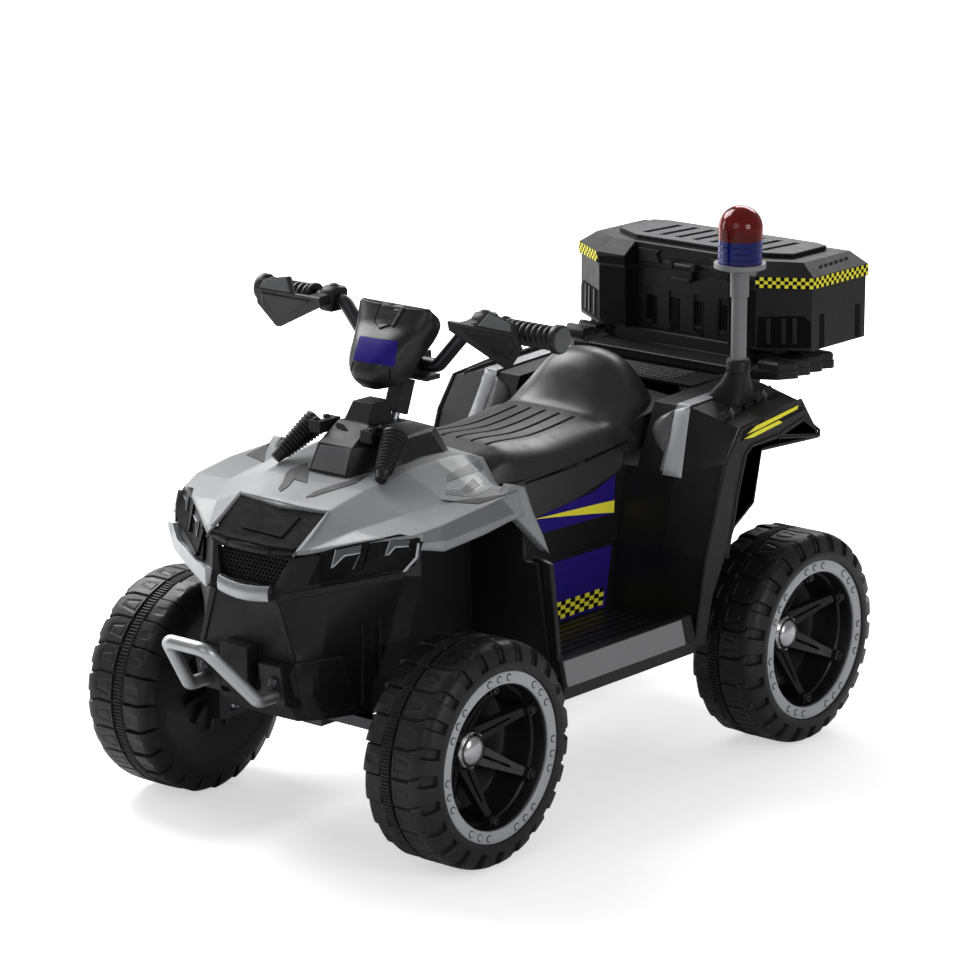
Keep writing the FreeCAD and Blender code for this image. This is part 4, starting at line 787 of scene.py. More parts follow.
SEAT_BASE = 398.0
SEAT_ROWS = [
    (-102, (0, 433), (30, 432), (56, 428), (74, 412), (82, SEAT_BASE)),
    (-80, (0, 438), (30, 437), (58, 434), (82, 422), (90, SEAT_BASE)),
    (-60, (0, 441), (32, 440), (62, 437), (88, 423), (95, SEAT_BASE)),
    (20, (0, 436), (36, 435), (70, 433), (96, 419), (100, SEAT_BASE)),
    (112, (0, 444), (40, 443), (76, 439), (98, 426), (104, SEAT_BASE)),
    (126, (0, 449), (38, 447), (70, 441), (95, 428), (105, SEAT_BASE)),
    (140, (0, 467), (36, 462), (64, 450), (92, 432), (105, SEAT_BASE)),
    (160, (0, 497), (38, 489), (64, 468), (90, 442), (105, SEAT_BASE)),
    (185, (0, 511), (40, 504), (65, 483), (87, 450), (104, SEAT_BASE)),
    (215, (0, 508), (40, 500), (64, 478), (84, 446), (99, SEAT_BASE)),
    (240, (0, 488), (36, 482), (58, 464), (75, 438), (87, SEAT_BASE)),
    (258, (0, 452), (30, 448), (56, 436), (66, 422), (72, SEAT_BASE)),
]
SEAT_STEP, SEAT_FLAT = 4.0, 54.0
SHOULDER_STEPS, SIDE_STEPS = 14, 10
GROOVES = (-48, -24, 0, 24, 48)
GROOVE_FRONT, GROOVE_BACK = -70.0, 110.0
GROOVE_HALF, GROOVE_MID, GROOVE_RIM, GROOVE_DEEP = 1.7, 2.3, 2.9, 4.4
GROOVE_LINES = (-GROOVE_RIM, -GROOVE_MID, -GROOVE_HALF, 0, GROOVE_HALF, GROOVE_MID, GROOVE_RIM, 7, 12, 17)
GROOVE_ENDS = (0.0, 0.6, 1.2, 2.0, GROOVE_RIM)
# Sizes of the near-black strips of painted shade in the seat grooves
SHADE_INSET, SHADE_HALF, SHADE_THICK, SHADE_STEPS = 2.4, 1.8, 0.5, 32
SKIRT_ROWS = [(150, 95, 424), (185, 98, 436), (215, 100, 440), (240, 101, 444), (262, 104, 446)]
SKIRT_FOOT, SKIRT_CROWN, SKIRT_RISE = 106, 40, 6
SEAT_SEAM = [SEAM((72, 299), (150, 271), (152, 278), (74, 305)),
             SEAM((150, 271), (230, 241), (232, 248), (152, 278)),
             SEAM((230, 241), (372, 176), (374, 182), (232, 248))]


def seat_keys(y):
    """The seat's section at this place, from just past the crown out to the seam."""
    keys = [curve([(row[0], row[i]) for row in SEAT_ROWS], y) for i in range(1, 6)]
    return [(-keys[1][0], keys[1][1])] + keys


def groove_cut(x, y):
    run = max(GROOVE_FRONT + GROOVE_RIM - y, y - GROOVE_BACK + GROOVE_RIM, 0)
    off = min(math.hypot(abs(x - g), run) for g in GROOVES)
    return GROOVE_DEEP * min(1.0, max(0.0, (GROOVE_RIM - off) / (GROOVE_RIM - GROOVE_HALF)))


def seat_mesh():
    """The seat's shell, with more points where the grooves are cut."""
    front, back = SEAT_ROWS[0][0], SEAT_ROWS[-1][0]
    flat = {0.0, SEAT_FLAT}
    flat.update(g + d for g in GROOVES[2:] for d in GROOVE_LINES if 0 <= g + d <= SEAT_FLAT)
    stops = {front + SEAT_STEP * i for i in range(int((back - front) / SEAT_STEP) + 1)}
    for end, way in ((GROOVE_FRONT, 1), (GROOVE_BACK, -1)):
        stops.update(end + way * d for d in GROOVE_ENDS)
    rings = []
    for y in sorted(stops):
        keys = seat_keys(y)
        edge, foot = keys[4][0], keys[5][0]
        xs = sorted(flat)
        xs += [SEAT_FLAT + (edge - SEAT_FLAT) * i / SHOULDER_STEPS for i in range(1, SHOULDER_STEPS + 1)]
        xs += [edge + (foot - edge) * i / SIDE_STEPS for i in range(1, SIDE_STEPS + 1)]
        half = [(x, y, curve(keys, x) - groove_cut(x, y)) for x in xs]
        rings.append(mirrored(half[:0:-1]) + half)
    return Mesh().rings(rings)


def groove_painted_shade():
    """Dark strips in the bottom of the seat grooves: painted shade."""
    m = Mesh()
    front, back = GROOVE_FRONT + SHADE_INSET, GROOVE_BACK - SHADE_INSET
    for g in GROOVES:
        rings = []
        left, right = g - SHADE_HALF, g + SHADE_HALF
        for i in range(SHADE_STEPS + 1):
            y = front + (back - front) * i / SHADE_STEPS
            z = curve(seat_keys(y), abs(g)) - GROOVE_DEEP
            low, high = z - SHADE_THICK, z + SHADE_THICK
            rings.append([(left, y, low), (right, y, low), (right, y, high), (left, y, high)])
        m.rings(rings)
    return m


def skirt_mesh():
    """The sloping piece behind the seat."""
    rings = []
    for y, x, z in SKIRT_ROWS:
        half = [(SKIRT_CROWN, y, z + SKIRT_RISE), (x, y, z), (SKIRT_FOOT, y, SEAT_BASE)]
        rings.append(mirrored(half[::-1]) + half)
    return Mesh().rings(rings)


put(seat_mesh().make("seat_shell", "seat_black", 42), "chassis", "seat_black", "seat")
inlay("seat_side_seam", "deep_black", "seat_black", tree_of("seat_shell", "chassis_tub"), SEAT_SEAM,
      lift=0.7, sink=0.6, cell=5, mirror=True)
put(skirt_mesh().make("seat_rear_skirt", "body_black", 40), "chassis", "body_black")
# Painted shade in the seat grooves
put(groove_painted_shade().make("seat_groove_painted_shade", "deep_black"), "chassis", "seat_black")


# Boots, grips, lever perches and hand guards

BOOT_FOOT, BOOT_HEAD = (86, -312, 446), (63, -258, 489)
BOOT_RIBS, BOOT_PLAIN, BOOT_FIRST, BOOT_R, BOOT_GROWS = 11, 20, 14, 9.8, 6.0
BOOT_TIP = [(0, 5.0), (0.6, 7.0), (3, 7.6), (12, 8.6), (13, 9.6)]
BOOT_RIB = [(0, -0.9), (0.25, 1.2), (0.5, 1.5), (0.75, 0.8)]
BOOT_COLLAR = [(-5, 15.0), (-4, 16.6), (-1, 16.4), (0, 14.0)]
GRIP_AT = (152, -161, 616)
GRIP_RIBS, GRIP_FIRST, GRIP_PITCH = 8, 7, 9.0
GRIP_FLANGE = [(0, 9), (0, 16.4), (1, 17), (4, 17), (5, 16), (6, 13)]
GRIP_RIB = [(0, 12.6), (1.4, 14.6), (2.4, 15.2), (5.0, 15.2), (6.2, 14.6), (7.6, 12.6)]
GRIP_END = [(80.5, 13), (82, 17.2), (83.5, 18), (89.5, 18), (91.5, 17.2), (92.6, 15.6), (92.6, 9)]
GRIP_DISC = [(91.5, 15.4), (92.8, 15.2), (93, 13.5)]
PERCH = [(-177, 606), (-174, 603), (-149, 603), (-145.4, 606), (-145.4, 629), (-150, 633), (-168, 634),
         (-177, 626)]
PERCH_ROWS = ((112, 0.9), (114.5, 1.0), (131.5, 1.0), (134, 0.9))
PERCH_PIN, PERCH_PIN_AT = [(632, 6.6), (634.6, 6.6), (635.8, 5.4), (636.2, 2.0)], (123, -160, 0)
GUARD_TOP = [(145, -209, 627), (160, -201, 647), (206, -205, 638), (211, -209, 626)]
GUARD_LOW = [(112, -209, 624), (205, -209, 624), (208, -204, 607), (187, -195, 584), (183, -195, 584)]
GUARD_SINK, GUARD_CHAMFER, GUARD_INSET = 1.0, 0.8, 0.93


def boots_mesh():
    """Two ribbed rubber boots, wider toward the pedestal."""
    m = Mesh()
    length = (Vector(BOOT_HEAD) - Vector(BOOT_FOOT)).length
    pitch = (length - BOOT_PLAIN) / BOOT_RIBS
    profile = list(BOOT_TIP)
    for i in range(BOOT_RIBS):
        radius = BOOT_R + BOOT_GROWS * i / BOOT_RIBS
        profile += [(BOOT_FIRST + (i + a) * pitch, radius + r) for a, r in BOOT_RIB]
    profile += [(length + a, r) for a, r in BOOT_COLLAR]
    for ends in ([BOOT_FOOT, BOOT_HEAD], mirrored([BOOT_FOOT, BOOT_HEAD])):
        m.lathe(profile, 36, "x", along(*ends))
    return m


def on_grips(profile):
    """A profile turned about both grips."""
    half_turn = Matrix.Rotation(math.pi, 4, "Z")
    m = Mesh().lathe(profile, 40, "x", Matrix.Translation(GRIP_AT))
    return m.lathe(profile, 40, "x", Matrix.Translation(mirrored([GRIP_AT])[0]) @ half_turn)


def grip_profile():
    starts = [GRIP_FIRST + i * GRIP_PITCH for i in range(GRIP_RIBS)]
    return GRIP_FLANGE + [(s + a, r) for s in starts for a, r in GRIP_RIB] + GRIP_END


def perches_mesh():
    m = Mesh()
    m.twins([shrink([(x, y, z) for y, z in PERCH], k) for x, k in PERCH_ROWS])
    for place in [PERCH_PIN_AT] + mirrored([PERCH_PIN_AT]):
        m.lathe(PERCH_PIN, 20, "z", Matrix.Translation(place))
    return m


def guard_panels(points, size, lift):
    """Thin plates on one flat face of both hand guards, with chamfered rims."""
    points = shrink(points, size)
    n = (points[1] - points[0]).cross(points[2] - points[0]).normalized()
    if n.y > 0:
        n = -n
    low = [p - n * GUARD_SINK for p in points]
    edge = [p + n * (lift - GUARD_CHAMFER) for p in points]
    top = [p + n * lift for p in shrink(points, GUARD_INSET)]
    return Mesh().twins([low, edge, top])


put(boots_mesh().make("ribbed_boots", "rubber_black", 40), "chassis", "rubber_black", "boots")
put(on_grips(grip_profile()).make("ribbed_grips", "rubber_black", 35), "steering", "rubber_black", "grips")
put(perches_mesh().make("perch_clamps", "body_black", 40), "steering", "body_black", "lever_perches")
put(on_grips(GRIP_DISC).make("grip_end_discs", "guard_panel_and_painted_highlight", 40), "steering", "guard_grey")
put(guard_panels(GUARD_LOW, 0.9, 1.0).make("guard_lower_panels", "guard_grey"), "steering", "guard_grey")
put(guard_panels(GUARD_TOP, 0.8, 1.2).make("guard_upper_panels", "guard_panel_and_painted_highlight"), "steering", "guard_grey")


# Dash pod: rows from its foot up, each with half width, front and rear

POD_ROWS = [(534, (18, -236, -206)), (545, (30, -246, -196)), (565, (40, -246, -186)),
            (590, (50, -228, -168)), (608, (59, -206, -168)), (619, (60, -199, -173)),
            (628, (57, -193, -182))]
POD_LEVELS, POD_SPANS, POD_POWER = 24, 30, 0.62
POD_FOOT, POD_FOOT_MID, POD_FOOT_SIZE = 531.5, -221, 0.5
POD_RIM, POD_BOWL = (631, 0.94, 0.985, -2.6), (626, 0.86, 0.97, -5.2)
POD_PANEL = POD((660, 190), (756, 204), (704, 298), (641, 318), (624, 284))
POD_STICKER = POD((552, 354), (560, 351), (722, 374), (729, 383), (714, 487), (706, 493), (530, 464),
                  (523, 455))
POD_LOW_SEAMS = [POD((521, 466), (527, 466), (512, 520), (505, 516)),
                 POD((688, 496), (694, 497), (696, 556), (690, 558))]
# Dark line along the left edge of the pod's centre panel: painted shade
POD_PANEL_SHADE_LINES = [PANEL((298, 124), (309, 126), (269, 240), (258, 240)),
                 PANEL((258, 240), (269, 242), (299, 286), (288, 286))]
# Light line along the right edge of the pod's centre panel: painted highlight
POD_PANEL_HIGHLIGHT = PANEL((436, 140), (443, 142), (368, 272), (360, 268))


def pod_mesh():
    """The pod's shell with a hollow top; its back is flat."""
    low, high = POD_ROWS[0][0], POD_ROWS[-1][0]
    rings = []
    for i in range(POD_LEVELS + 1):
        z = low + (high - low) * i / POD_LEVELS
        half, front, rear = curve(POD_ROWS, z)
        ring = []
        for j in range(POD_SPANS + 1):
            x, y = superround(math.pi * j / POD_SPANS, half, front - rear, POD_POWER)
            ring.append((x, rear + y, z))
        rings.append(ring)
    foot = []
    for x, y, _ in rings[0]:
        foot.append((x * POD_FOOT_SIZE, POD_FOOT_MID + (y - POD_FOOT_MID) * POD_FOOT_SIZE, POD_FOOT))
    tops = [[(x * kx, y * ky + dy, z) for x, y, _ in rings[-1]] for z, kx, ky, dy in (POD_RIM, POD_BOWL)]
    return Mesh().rings([foot] + rings + tops)


put(pod_mesh().make("pod_shell", "pod_black", 48), "steering", "body_black", "dash_pod")
pod_tree = tree_of("pod_shell")
inlay("pod_centre_panel", "pod_black", "body_black", pod_tree, [POD_PANEL], "steering",
      lift=1.6, sink=0.8, cell=5, taper=0.05)
inlay("pod_plain_sticker", "decal_blue", "body_black", pod_tree, [POD_STICKER], "steering",
      lift=0.45, sink=0.5, cell=4)
m = Mesh()
for outline in POD_LOW_SEAMS:
    patch(m, outline, pod_tree, lift=0.35, sink=0.5, cell=5)
# The lower lines are seams; these upper ones are painted shade along the centre panel
for outline in POD_PANEL_SHADE_LINES:
    patch(m, outline, pod_tree, lift=1.0, sink=0.8, cell=4)
put(m.make("pod_seams_and_painted_shade", "deep_black"), "steering", "body_black")
# A light grey strip on the pod: painted highlight
inlay("pod_panel_painted_highlight", "guard_panel_and_painted_highlight", "body_black", pod_tree, [POD_PANEL_HIGHLIGHT], "steering",
      lift=1.9, sink=0.8, cell=4)


# Hood

SLASHES = [NOSE((788, 311), (830, 284), (905, 256), (1060, 210), (1122, 192), (1060, 236), (905, 282),
                (830, 307)),
           NOSE((466, 80), (592, 18), (572, 60), (562, 120))]
MIDDLE_SLASH = NOSE((766, 140), (800, 128), (806, 160), (794, 234), (722, 214))
HOOD_EDGE = LIP((121, 302), (139, 288), (164, 261), (190, 229), (219, 195), (260, 205), (300, 215),
                (340, 225), (380, 235), (420, 243), (458, 249), (436, 282), (412, 315), (374, 364))
EDGE_LIFT, EDGE_R = 0.3, 1.5
# Outline of the lit rear facet of the hood, drawn lighter as a painted highlight
REAR_PAINTED_HIGHLIGHT = REAR((138, 294), (216, 264), (352, 220), (374, 276), (322, 298), (288, 266), (222, 328),
                  (142, 328))
# Outlines of the shaded bands between the rear hood facets, drawn darker as painted shade
REAR_PAINTED_SHADE = [REAR((226, 330), (288, 270), (320, 300), (262, 340)),
                REAR((150, 240), (255, 190), (318, 160), (345, 212), (216, 258), (146, 282)),
                REAR((140, 336), (224, 336), (264, 346), (378, 286), (386, 314), (290, 366), (140, 350))]
FENDER_PANEL = SIDE((14, 338), (432, 150), (500, 226), (150, 368), (14, 384))
cowl_tree = tree_of("front_cowl")
# Slashes on the hood, raised and dark grey: painted shade where the hood has recesses
m = Mesh()
for outline in SLASHES:
    patch(m, outline, cowl_tree, lift=0.8, sink=0.8, cell=5, mirror=True)
patch(m, MIDDLE_SLASH, cowl_tree, lift=0.8, sink=0.8, cell=5)
put(m.make("hood_slashes_painted_shade", "slash_painted_shade"), "chassis", "body_grey")
# A thin lip along the hood's opening edge, in the lighter grey: painted highlight
edge_seen = [sight(cowl_tree, u, v) for u, v in HOOD_EDGE]
edge_path = [place + normal * EDGE_LIFT for place, normal in edge_seen if place is not None]
put(Mesh().tube(edge_path, EDGE_R, 8).make("hood_edge_highlight_lip", "hood_painted_highlight", 50), "chassis", "body_grey")
# A flush patch in the lighter grey on the rear hood: painted highlight of a lit facet
inlay("hood_rear_painted_highlight", "hood_painted_highlight", "body_grey", cowl_tree, [REAR_PAINTED_HIGHLIGHT], angle=25,
      lift=0.3, sink=0.8, cell=3, mirror=True)
# Flush patches in the darker grey on the rear hood: painted shade
inlay("hood_rear_painted_shade", "fender_grey_and_painted_shade", "body_grey", cowl_tree, REAR_PAINTED_SHADE, angle=25,
      lift=0.3, sink=0.8, cell=3, mirror=True)
# Darker grey panels on the sides of the front fenders
inlay("fender_side_panels", "fender_grey_and_painted_shade", "body_grey", cowl_tree, [FENDER_PANEL],
      lift=0.9, sink=0.8, cell=5, mirror=True, taper=0.02)


# Trims under the lamps and the chin bar

RIGHT_TRIM = NOSE((62, 446), (74, 436), (92, 446), (118, 536), (186, 618), (268, 696), (272, 790),
                  (180, 688), (98, 586))
RIGHT_TRIM_AT, RIGHT_TRIM_OUT = (-120, -424, 342), Vector((-0.49, -0.87, 0)).normalized()
FASCIA_EDGE = [(54, -461, 323), (110, -430, 339), (187, -386, 361)]
FASCIA_TOP = [(67, -444), (124, -405), (188, -362)]
FASCIA_TOP_Z, FASCIA_TOP_Y, FASCIA_RISE = 374, -444, 0.312
LAMP_OUT = Vector((0.46, -0.84, 0.28))
STRIP_LOW, STRIP_HIGH, STRIP_SPANS = -0.06, 0.16, 10
STRIP_SINK, STRIP_LIFT, STRIP_ROUND = 0.6, 3.0, 1.2
CHIN_HALF, CHIN_STEPS, CHIN_Y, CHIN_Z, CHIN_BOW, CHIN_DIP = 41, 16, -468.4, 330, 3.0, 4.0
CHIN_SECTION = [(8, -10), (2.4, -10), (0.4, -7), (0, 0), (0.8, 6), (3, 9), (8, 9)]


def lamp_face(u, v):
    """A point on the headlight face: u runs outward, v up from the trim line to the hood edge."""
    high = [Vector((x, y, FASCIA_TOP_Z + FASCIA_RISE * (y - FASCIA_TOP_Y))) for x, y in FASCIA_TOP]
    low = [Vector(p) for p in FASCIA_EDGE]
    i = 0 if u < 0.5 else 1
    t = u * 2 - i
    return low[i].lerp(low[i + 1], t) * (1 - v) + high[i].lerp(high[i + 1], t) * v


def left_trim_mesh():
    """A raised strip on the lamp face with rounded long edges."""
    rings = []
    for i in range(STRIP_SPANS + 1):
        a, b = lamp_face(i / STRIP_SPANS, STRIP_LOW), lamp_face(i / STRIP_SPANS, STRIP_HIGH)
        inward = (b - a).normalized() * STRIP_ROUND
        sunk, top = LAMP_OUT * -STRIP_SINK, LAMP_OUT * STRIP_LIFT
        edge = LAMP_OUT * (STRIP_LIFT - STRIP_ROUND)
        rings.append([a + sunk, b + sunk, b + edge, b - inward + top, a + inward + top, a + edge])
    return Mesh().rings(rings)


def chin_mesh():
    rings = []
    for i in range(CHIN_STEPS + 1):
        x = -CHIN_HALF + 2 * CHIN_HALF * i / CHIN_STEPS
        k = (x / CHIN_HALF) ** 2
        y, z = CHIN_Y + CHIN_BOW * k, CHIN_Z - CHIN_DIP * (1 - k)
        rings.append([(x, y + dy, z + dz) for dy, dz in CHIN_SECTION])
    return Mesh().rings(rings)


# The trim under both lamps is one part, drawn silver on the right and black on the left: lit and shaded
# copies, painted light and painted shade
m = Mesh()
facing_plate(m, RIGHT_TRIM, RIGHT_TRIM_AT, RIGHT_TRIM_OUT, 6.0, 6.0, (1,))
put(m.make("lamp_under_trim_right_lit_copy", "trim_silver", 40), "chassis", "trim_silver", "chin_trim")
put(left_trim_mesh().make("lamp_under_trim_left_shaded_copy", "body_black", 40), "chassis", "body_black")
put(chin_mesh().make("chin_bar", "trim_silver", 35), "chassis", "trim_silver")


# Headlights: flat pieces on the plane through three places of the lamp

LENS_ANCHORS = NOSE((880, 640), (880, 770), (1392, 545))
HOUSING = NOSE((866, 612), (952, 582), (1300, 508), (1408, 532), (1388, 640), (1308, 728), (862, 784))
REFLECTORS = [NOSE((932, 690), (956, 592), (1096, 566), (1086, 610), (1000, 626), (946, 682)),
              NOSE((1222, 622), (1250, 540), (1358, 540), (1346, 574), (1274, 578), (1240, 620)),
              NOSE((1336, 640), (1352, 590), (1360, 590), (1345, 642)),
              NOSE((1040, 700), (1076, 622), (1086, 622), (1052, 700))]
# Bright lines along the lower and outer edges of the reflectors: painted highlight
REFLECTOR_HIGHLIGHTS = [
    NOSE((926, 696), (944, 687), (1002, 630), (1088, 614), (1088, 607), (998, 621), (938, 680)),
    NOSE((926, 694), (951, 592), (957, 592), (933, 690)),
    NOSE((1217, 627), (1241, 623), (1276, 583), (1348, 578), (1348, 571), (1272, 574), (1236, 616)),
    NOSE((1217, 625), (1246, 540), (1252, 540), (1223, 622))]
LAMP_DIVIDER = NOSE((1108, 556), (1136, 550), (1096, 700), (1066, 706))
LAMP_SILL = NOSE((866, 766), (1306, 712), (1308, 728), (862, 784))
LAMP_BROW = NOSE((866, 612), (952, 582), (1300, 508), (1300, 520), (955, 596), (868, 628))
END_BEAD = NOSE((1300, 730), (1312, 736), (1398, 640), (1410, 560), (1398, 556), (1386, 632))
lamp_tree = tree_of("headlights", "front_cowl", "front_fascia")
LENS_AT, lens_low, lens_far = (sight(lamp_tree, u, v)[0] for u, v in LENS_ANCHORS)
LENS_OUT = (lens_low - LENS_AT).cross(lens_far - LENS_AT).normalized()
if LENS_OUT.dot(BACK) < 0:
    LENS_OUT = -LENS_OUT


def lens_piece(name, mat, record_slot, rows, angle=None):
    """One piece of flat plates in both lamps; a row is an outline, its lift and its sink."""
    m = Mesh()
    for outline, lift, sink in rows:
        facing_plate(m, outline, LENS_AT, LENS_OUT, lift, sink)
    put(m.make(name, mat, angle), "chassis", record_slot)


lens_piece("lamp_housings", "lamp_clear", "lamp_clear", [(HOUSING, 2.0, 16.0)], 30)
lens_piece("lamp_reflectors", "lamp_mirror", "lamp_clear", [(r, 3.0, 0.5) for r in REFLECTORS])
# Strips of brighter metal on the reflector edges: painted highlight
lens_piece("lamp_reflector_highlights", "lamp_painted_highlight", "lamp_clear", [(r, 3.8, 0.6) for r in REFLECTOR_HIGHLIGHTS])
lens_piece("lamp_frames", "lamp_clear", "lamp_clear",
           [(LAMP_DIVIDER, 5.0, 0.5), (LAMP_SILL, 4.0, 0.5), (LAMP_BROW, 3.6, 0.5)])
lens_piece("lamp_end_beads", "trim_silver", "trim_silver", [(END_BEAD, 8.0, 10.0)])


# Grille, brow bar and badge panel

MESH_UP = Vector((0, 12, 46)).normalized()
MESH_OUT = Vector((0, -46, 12)).normalized()
MESH_FOOT = Vector((0, -447.4, 336))
MESH_CELL, MESH_WALL, MESH_DEEP = 5.6, 0.85, 1.6
MESH_ROWS, MESH_COLS = 8, 12
HEX_WIDE, HEX_HIGH = 1.732, 0.866
HEX_FLARE, HEX_INNER_DEEP, HEX_OUTER_DEEP = 1.18, 0.9, 0.8
MESH_START, MESH_TOP, MESH_HALF, MESH_FLARE = 2.0, 34, 43, 0.40
MESH_BACK = ((-3, -46), (-3, 46), (38, 60), (38, -60))
MESH_BACK_AT, MESH_BACK_THICK = 5, 2
BROW_HALF, BROW_STEPS = 67, 24
BROW_Y, BROW_SWEEP, BROW_Z, BROW_DIP, BROW_HIGH, BROW_THINS = -456.5, 9.5, 380.5, 2.0, 5.6, 1.6
BROW_SECTION = [(9, -1), (2, -1), (0.4, -0.6), (0, 0), (0.8, 0.6), (3, 1), (10, 1)]
BADGE_PAD = NOSE((440, 478), (512, 366), (768, 420), (662, 535))
BADGE_BACK = [(-100, -368, 412), (100, -368, 412), (84, -430, 370), (-84, -430, 370)]
BADGE_BACK_THICK = 4


def grille_mesh():
    """Rows of hexagon rings that fill the grille's opening."""
    m = Mesh()
    reach = MESH_CELL / HEX_WIDE
    front = MESH_OUT * MESH_DEEP
    spokes = []
    for k in range(6):
        a = TAU * (k + 0.5) / 6
        spokes.append(Vector((math.cos(a), 0, 0)) + MESH_UP * math.sin(a))
    for row in range(MESH_ROWS):
        for col in range(-MESH_COLS, MESH_COLS + 1):
            x = (col + 0.5 * (row % 2)) * MESH_CELL
            up = row * MESH_CELL * HEX_HIGH + MESH_START
            if up > MESH_TOP or abs(x) > MESH_HALF + up * MESH_FLARE:
                continue
            mid = MESH_FOOT + MESH_UP * up + Vector((x, 0, 0))
            outer = [mid + d * reach for d in spokes]
            inner = [mid + d * (reach - MESH_WALL) for d in spokes]
            edge = [p + front * HEX_INNER_DEEP for p in inner]
            crest = [p + front for p in shrink(inner, HEX_FLARE)]
            side = [p + front * HEX_OUTER_DEEP for p in outer]
            m.rings([inner, edge, crest, side, outer, inner], None, False)
    return m


def grille_back_mesh():
    plate = [MESH_FOOT + MESH_UP * h - MESH_OUT * MESH_BACK_AT + Vector((x, 0, 0)) for h, x in MESH_BACK]
    return Mesh().rings([plate, [p - MESH_OUT * MESH_BACK_THICK for p in plate]])


def brow_mesh():
    """The bar over the grille, thinner and further back toward its ends."""
    rings = []
    for i in range(BROW_STEPS + 1):
        x = -BROW_HALF + 2 * BROW_HALF * i / BROW_STEPS
        k = (x / BROW_HALF) ** 2
        y, z = BROW_Y + BROW_SWEEP * k, BROW_Z - BROW_DIP * (1 - k)
        high = BROW_HIGH - BROW_THINS * k
        rings.append([(x, y + dy, z + high * dz) for dy, dz in BROW_SECTION])
    return Mesh().rings(rings)


badge_back = Mesh().rings([BADGE_BACK, [(x, y, z - BADGE_BACK_THICK) for x, y, z in BADGE_BACK]])
put(grille_mesh().make("hex_grille", "mesh_black"), "chassis", "mesh_black", "grille_mesh")
# A near-black plate behind the grille: painted shade of the space behind it
put(grille_back_mesh().make("grille_backing_painted_shade", "deep_black"), "chassis", "mesh_black")
put(brow_mesh().make("brow_bar", "body_black", 50), "chassis", "body_black")
# A raised pad on the badge in near-black: painted shade of the recessed badge
inlay("badge_pad_painted_shade", "deep_black", "body_black", tree_of("badge_panel"), [BADGE_PAD],
      lift=1.6, sink=0.6, cell=5, taper=0.06)
# A near-black plate behind the badge: painted shade of the space behind it
put(badge_back.make("badge_backing_painted_shade", "deep_black"), "chassis", "body_black")


# Lower nose, bolts and steering pedestal

NOSE_PLATE = NOSE((724, 1207), (985, 1162), (1060, 1446), (804, 1505), (752, 1400))
NOSE_RIBS = [NOSE((1088, 985), (1101, 984), (1101, 1428), (1088, 1430)),
             NOSE((1181, 962), (1193, 960), (1193, 1283), (1181, 1285))]
NOSE_SLANT = NOSE((612, 872), (640, 872), (732, 1190), (712, 1200))
BUMPER_BOLT = [(-1.5, 7.2), (0, 7.2), (2.2, 6.8), (4.8, 5.2), (6.4, 2.8), (6.8, 1.0)]
BUMPER_BOLT_AT = [(56, -472.4, 226), (56, -480.7, 224.7)]
WING_STUD = [(-1.0, 4.8), (1.4, 4.8), (2.8, 3.9), (3.6, 1.8)]
WING_STUDS = [(x, y, 496) for x in (45, -45) for y in (-281, -262)]
PEDESTAL_SLOT = PEDESTAL((512, 348), (530, 335), (575, 350), (606, 385), (612, 402), (570, 396), (525, 378))
# Outline of the lit front face of the pedestal, drawn grey as painted light
PEDESTAL_LIT_FACE = PLATE((268, 246), (386, 262), (362, 362), (234, 336))
nose_tree = tree_of("front_fascia")
m = Mesh()
patch(m, NOSE_PLATE, nose_tree, lift=2.4, sink=0.8, cell=6, mirror=True, taper=0.02)
for outline in NOSE_RIBS:
    patch(m, outline, nose_tree, lift=2.2, sink=0.8, cell=6, mirror=True)
patch(m, NOSE_SLANT, nose_tree, lift=1.8, sink=0.8, cell=6, mirror=True)
put(m.make("nose_plates_and_ribs", "body_black"), "chassis", "body_black")
m = Mesh()
for ends in (BUMPER_BOLT_AT, mirrored(BUMPER_BOLT_AT)):
    m.lathe(BUMPER_BOLT, 24, "x", along(*ends))
put(m.make("bumper_bolts", "tube_dark", 40), "chassis", "bright_steel", "body_bolts")
m = Mesh()
for place in WING_STUDS:
    m.lathe(WING_STUD, 18, "z", Matrix.Translation(place))
put(m.make("wing_studs", "body_black", 40), "chassis", "body_black")
pedestal_tree = tree_of("steering_pedestal")
# A flush near-black patch for the pedestal's slot: painted shade
inlay("pedestal_slot_painted_shade", "deep_black", "body_black", pedestal_tree, [PEDESTAL_SLOT],
      lift=0.5, sink=0.6, cell=5)
# A grey plate on the black pedestal's front face: painted light
inlay("pedestal_front_painted_light", "pedestal_painted_light", "body_black", pedestal_tree, [PEDESTAL_LIT_FACE],
      lift=1.0, sink=0.6, cell=8)


# Side panels and footwells

WALL_X = 96.0
UPPER_DECAL = SIDE((560, 276), (700, 205), (905, 115), (1020, 22), (1010, 225), (640, 330), (560, 352))
LOWER_DECAL = SIDE((560, 528), (1002, 390), (965, 715), (560, 846))
UPPER_PANEL = BODY((150, 424), (515, 291), (508, 352), (492, 364), (390, 432), (300, 472), (150, 540))
SIDE_STRIPE = SIDE((590, 258), (905, 182), (1014, 157), (1012, 222), (905, 228), (700, 246))
CHECKS = SIDE((560, 746), (960, 612), (952, 702), (560, 838))
CHECK_ROWS, CHECK_COLS = 4, 16
FILM_LIFT, STRIPE_LIFT = 0.5, 0.8
GUARD_LIP = [(190, 336), (217, 330), (225, 260), (233, 187), (234, 164), (206, 164), (206, 200)]
GUARD_LIP_Y, GUARD_LIP_ROUND = (-149.5, -141), 1.5
SIDE_RIDGE = SIDE((640, 482), (800, 432), (1004, 374), (1004, 386), (800, 446), (640, 497))
TREADS, TREAD_FIRST, TREAD_PITCH, TREAD_HALF = 9, 108, 13.5, 3.4
TREAD_Y, TREAD_Z, TREAD_CHAMFER = (-132, 108), (194.6, 196.4), 0.7


def wall_pieces(outlines, lift):
    m = Mesh()
    for outline in outlines:
        wall_piece(m, outline, WALL_X, lift)
    return m


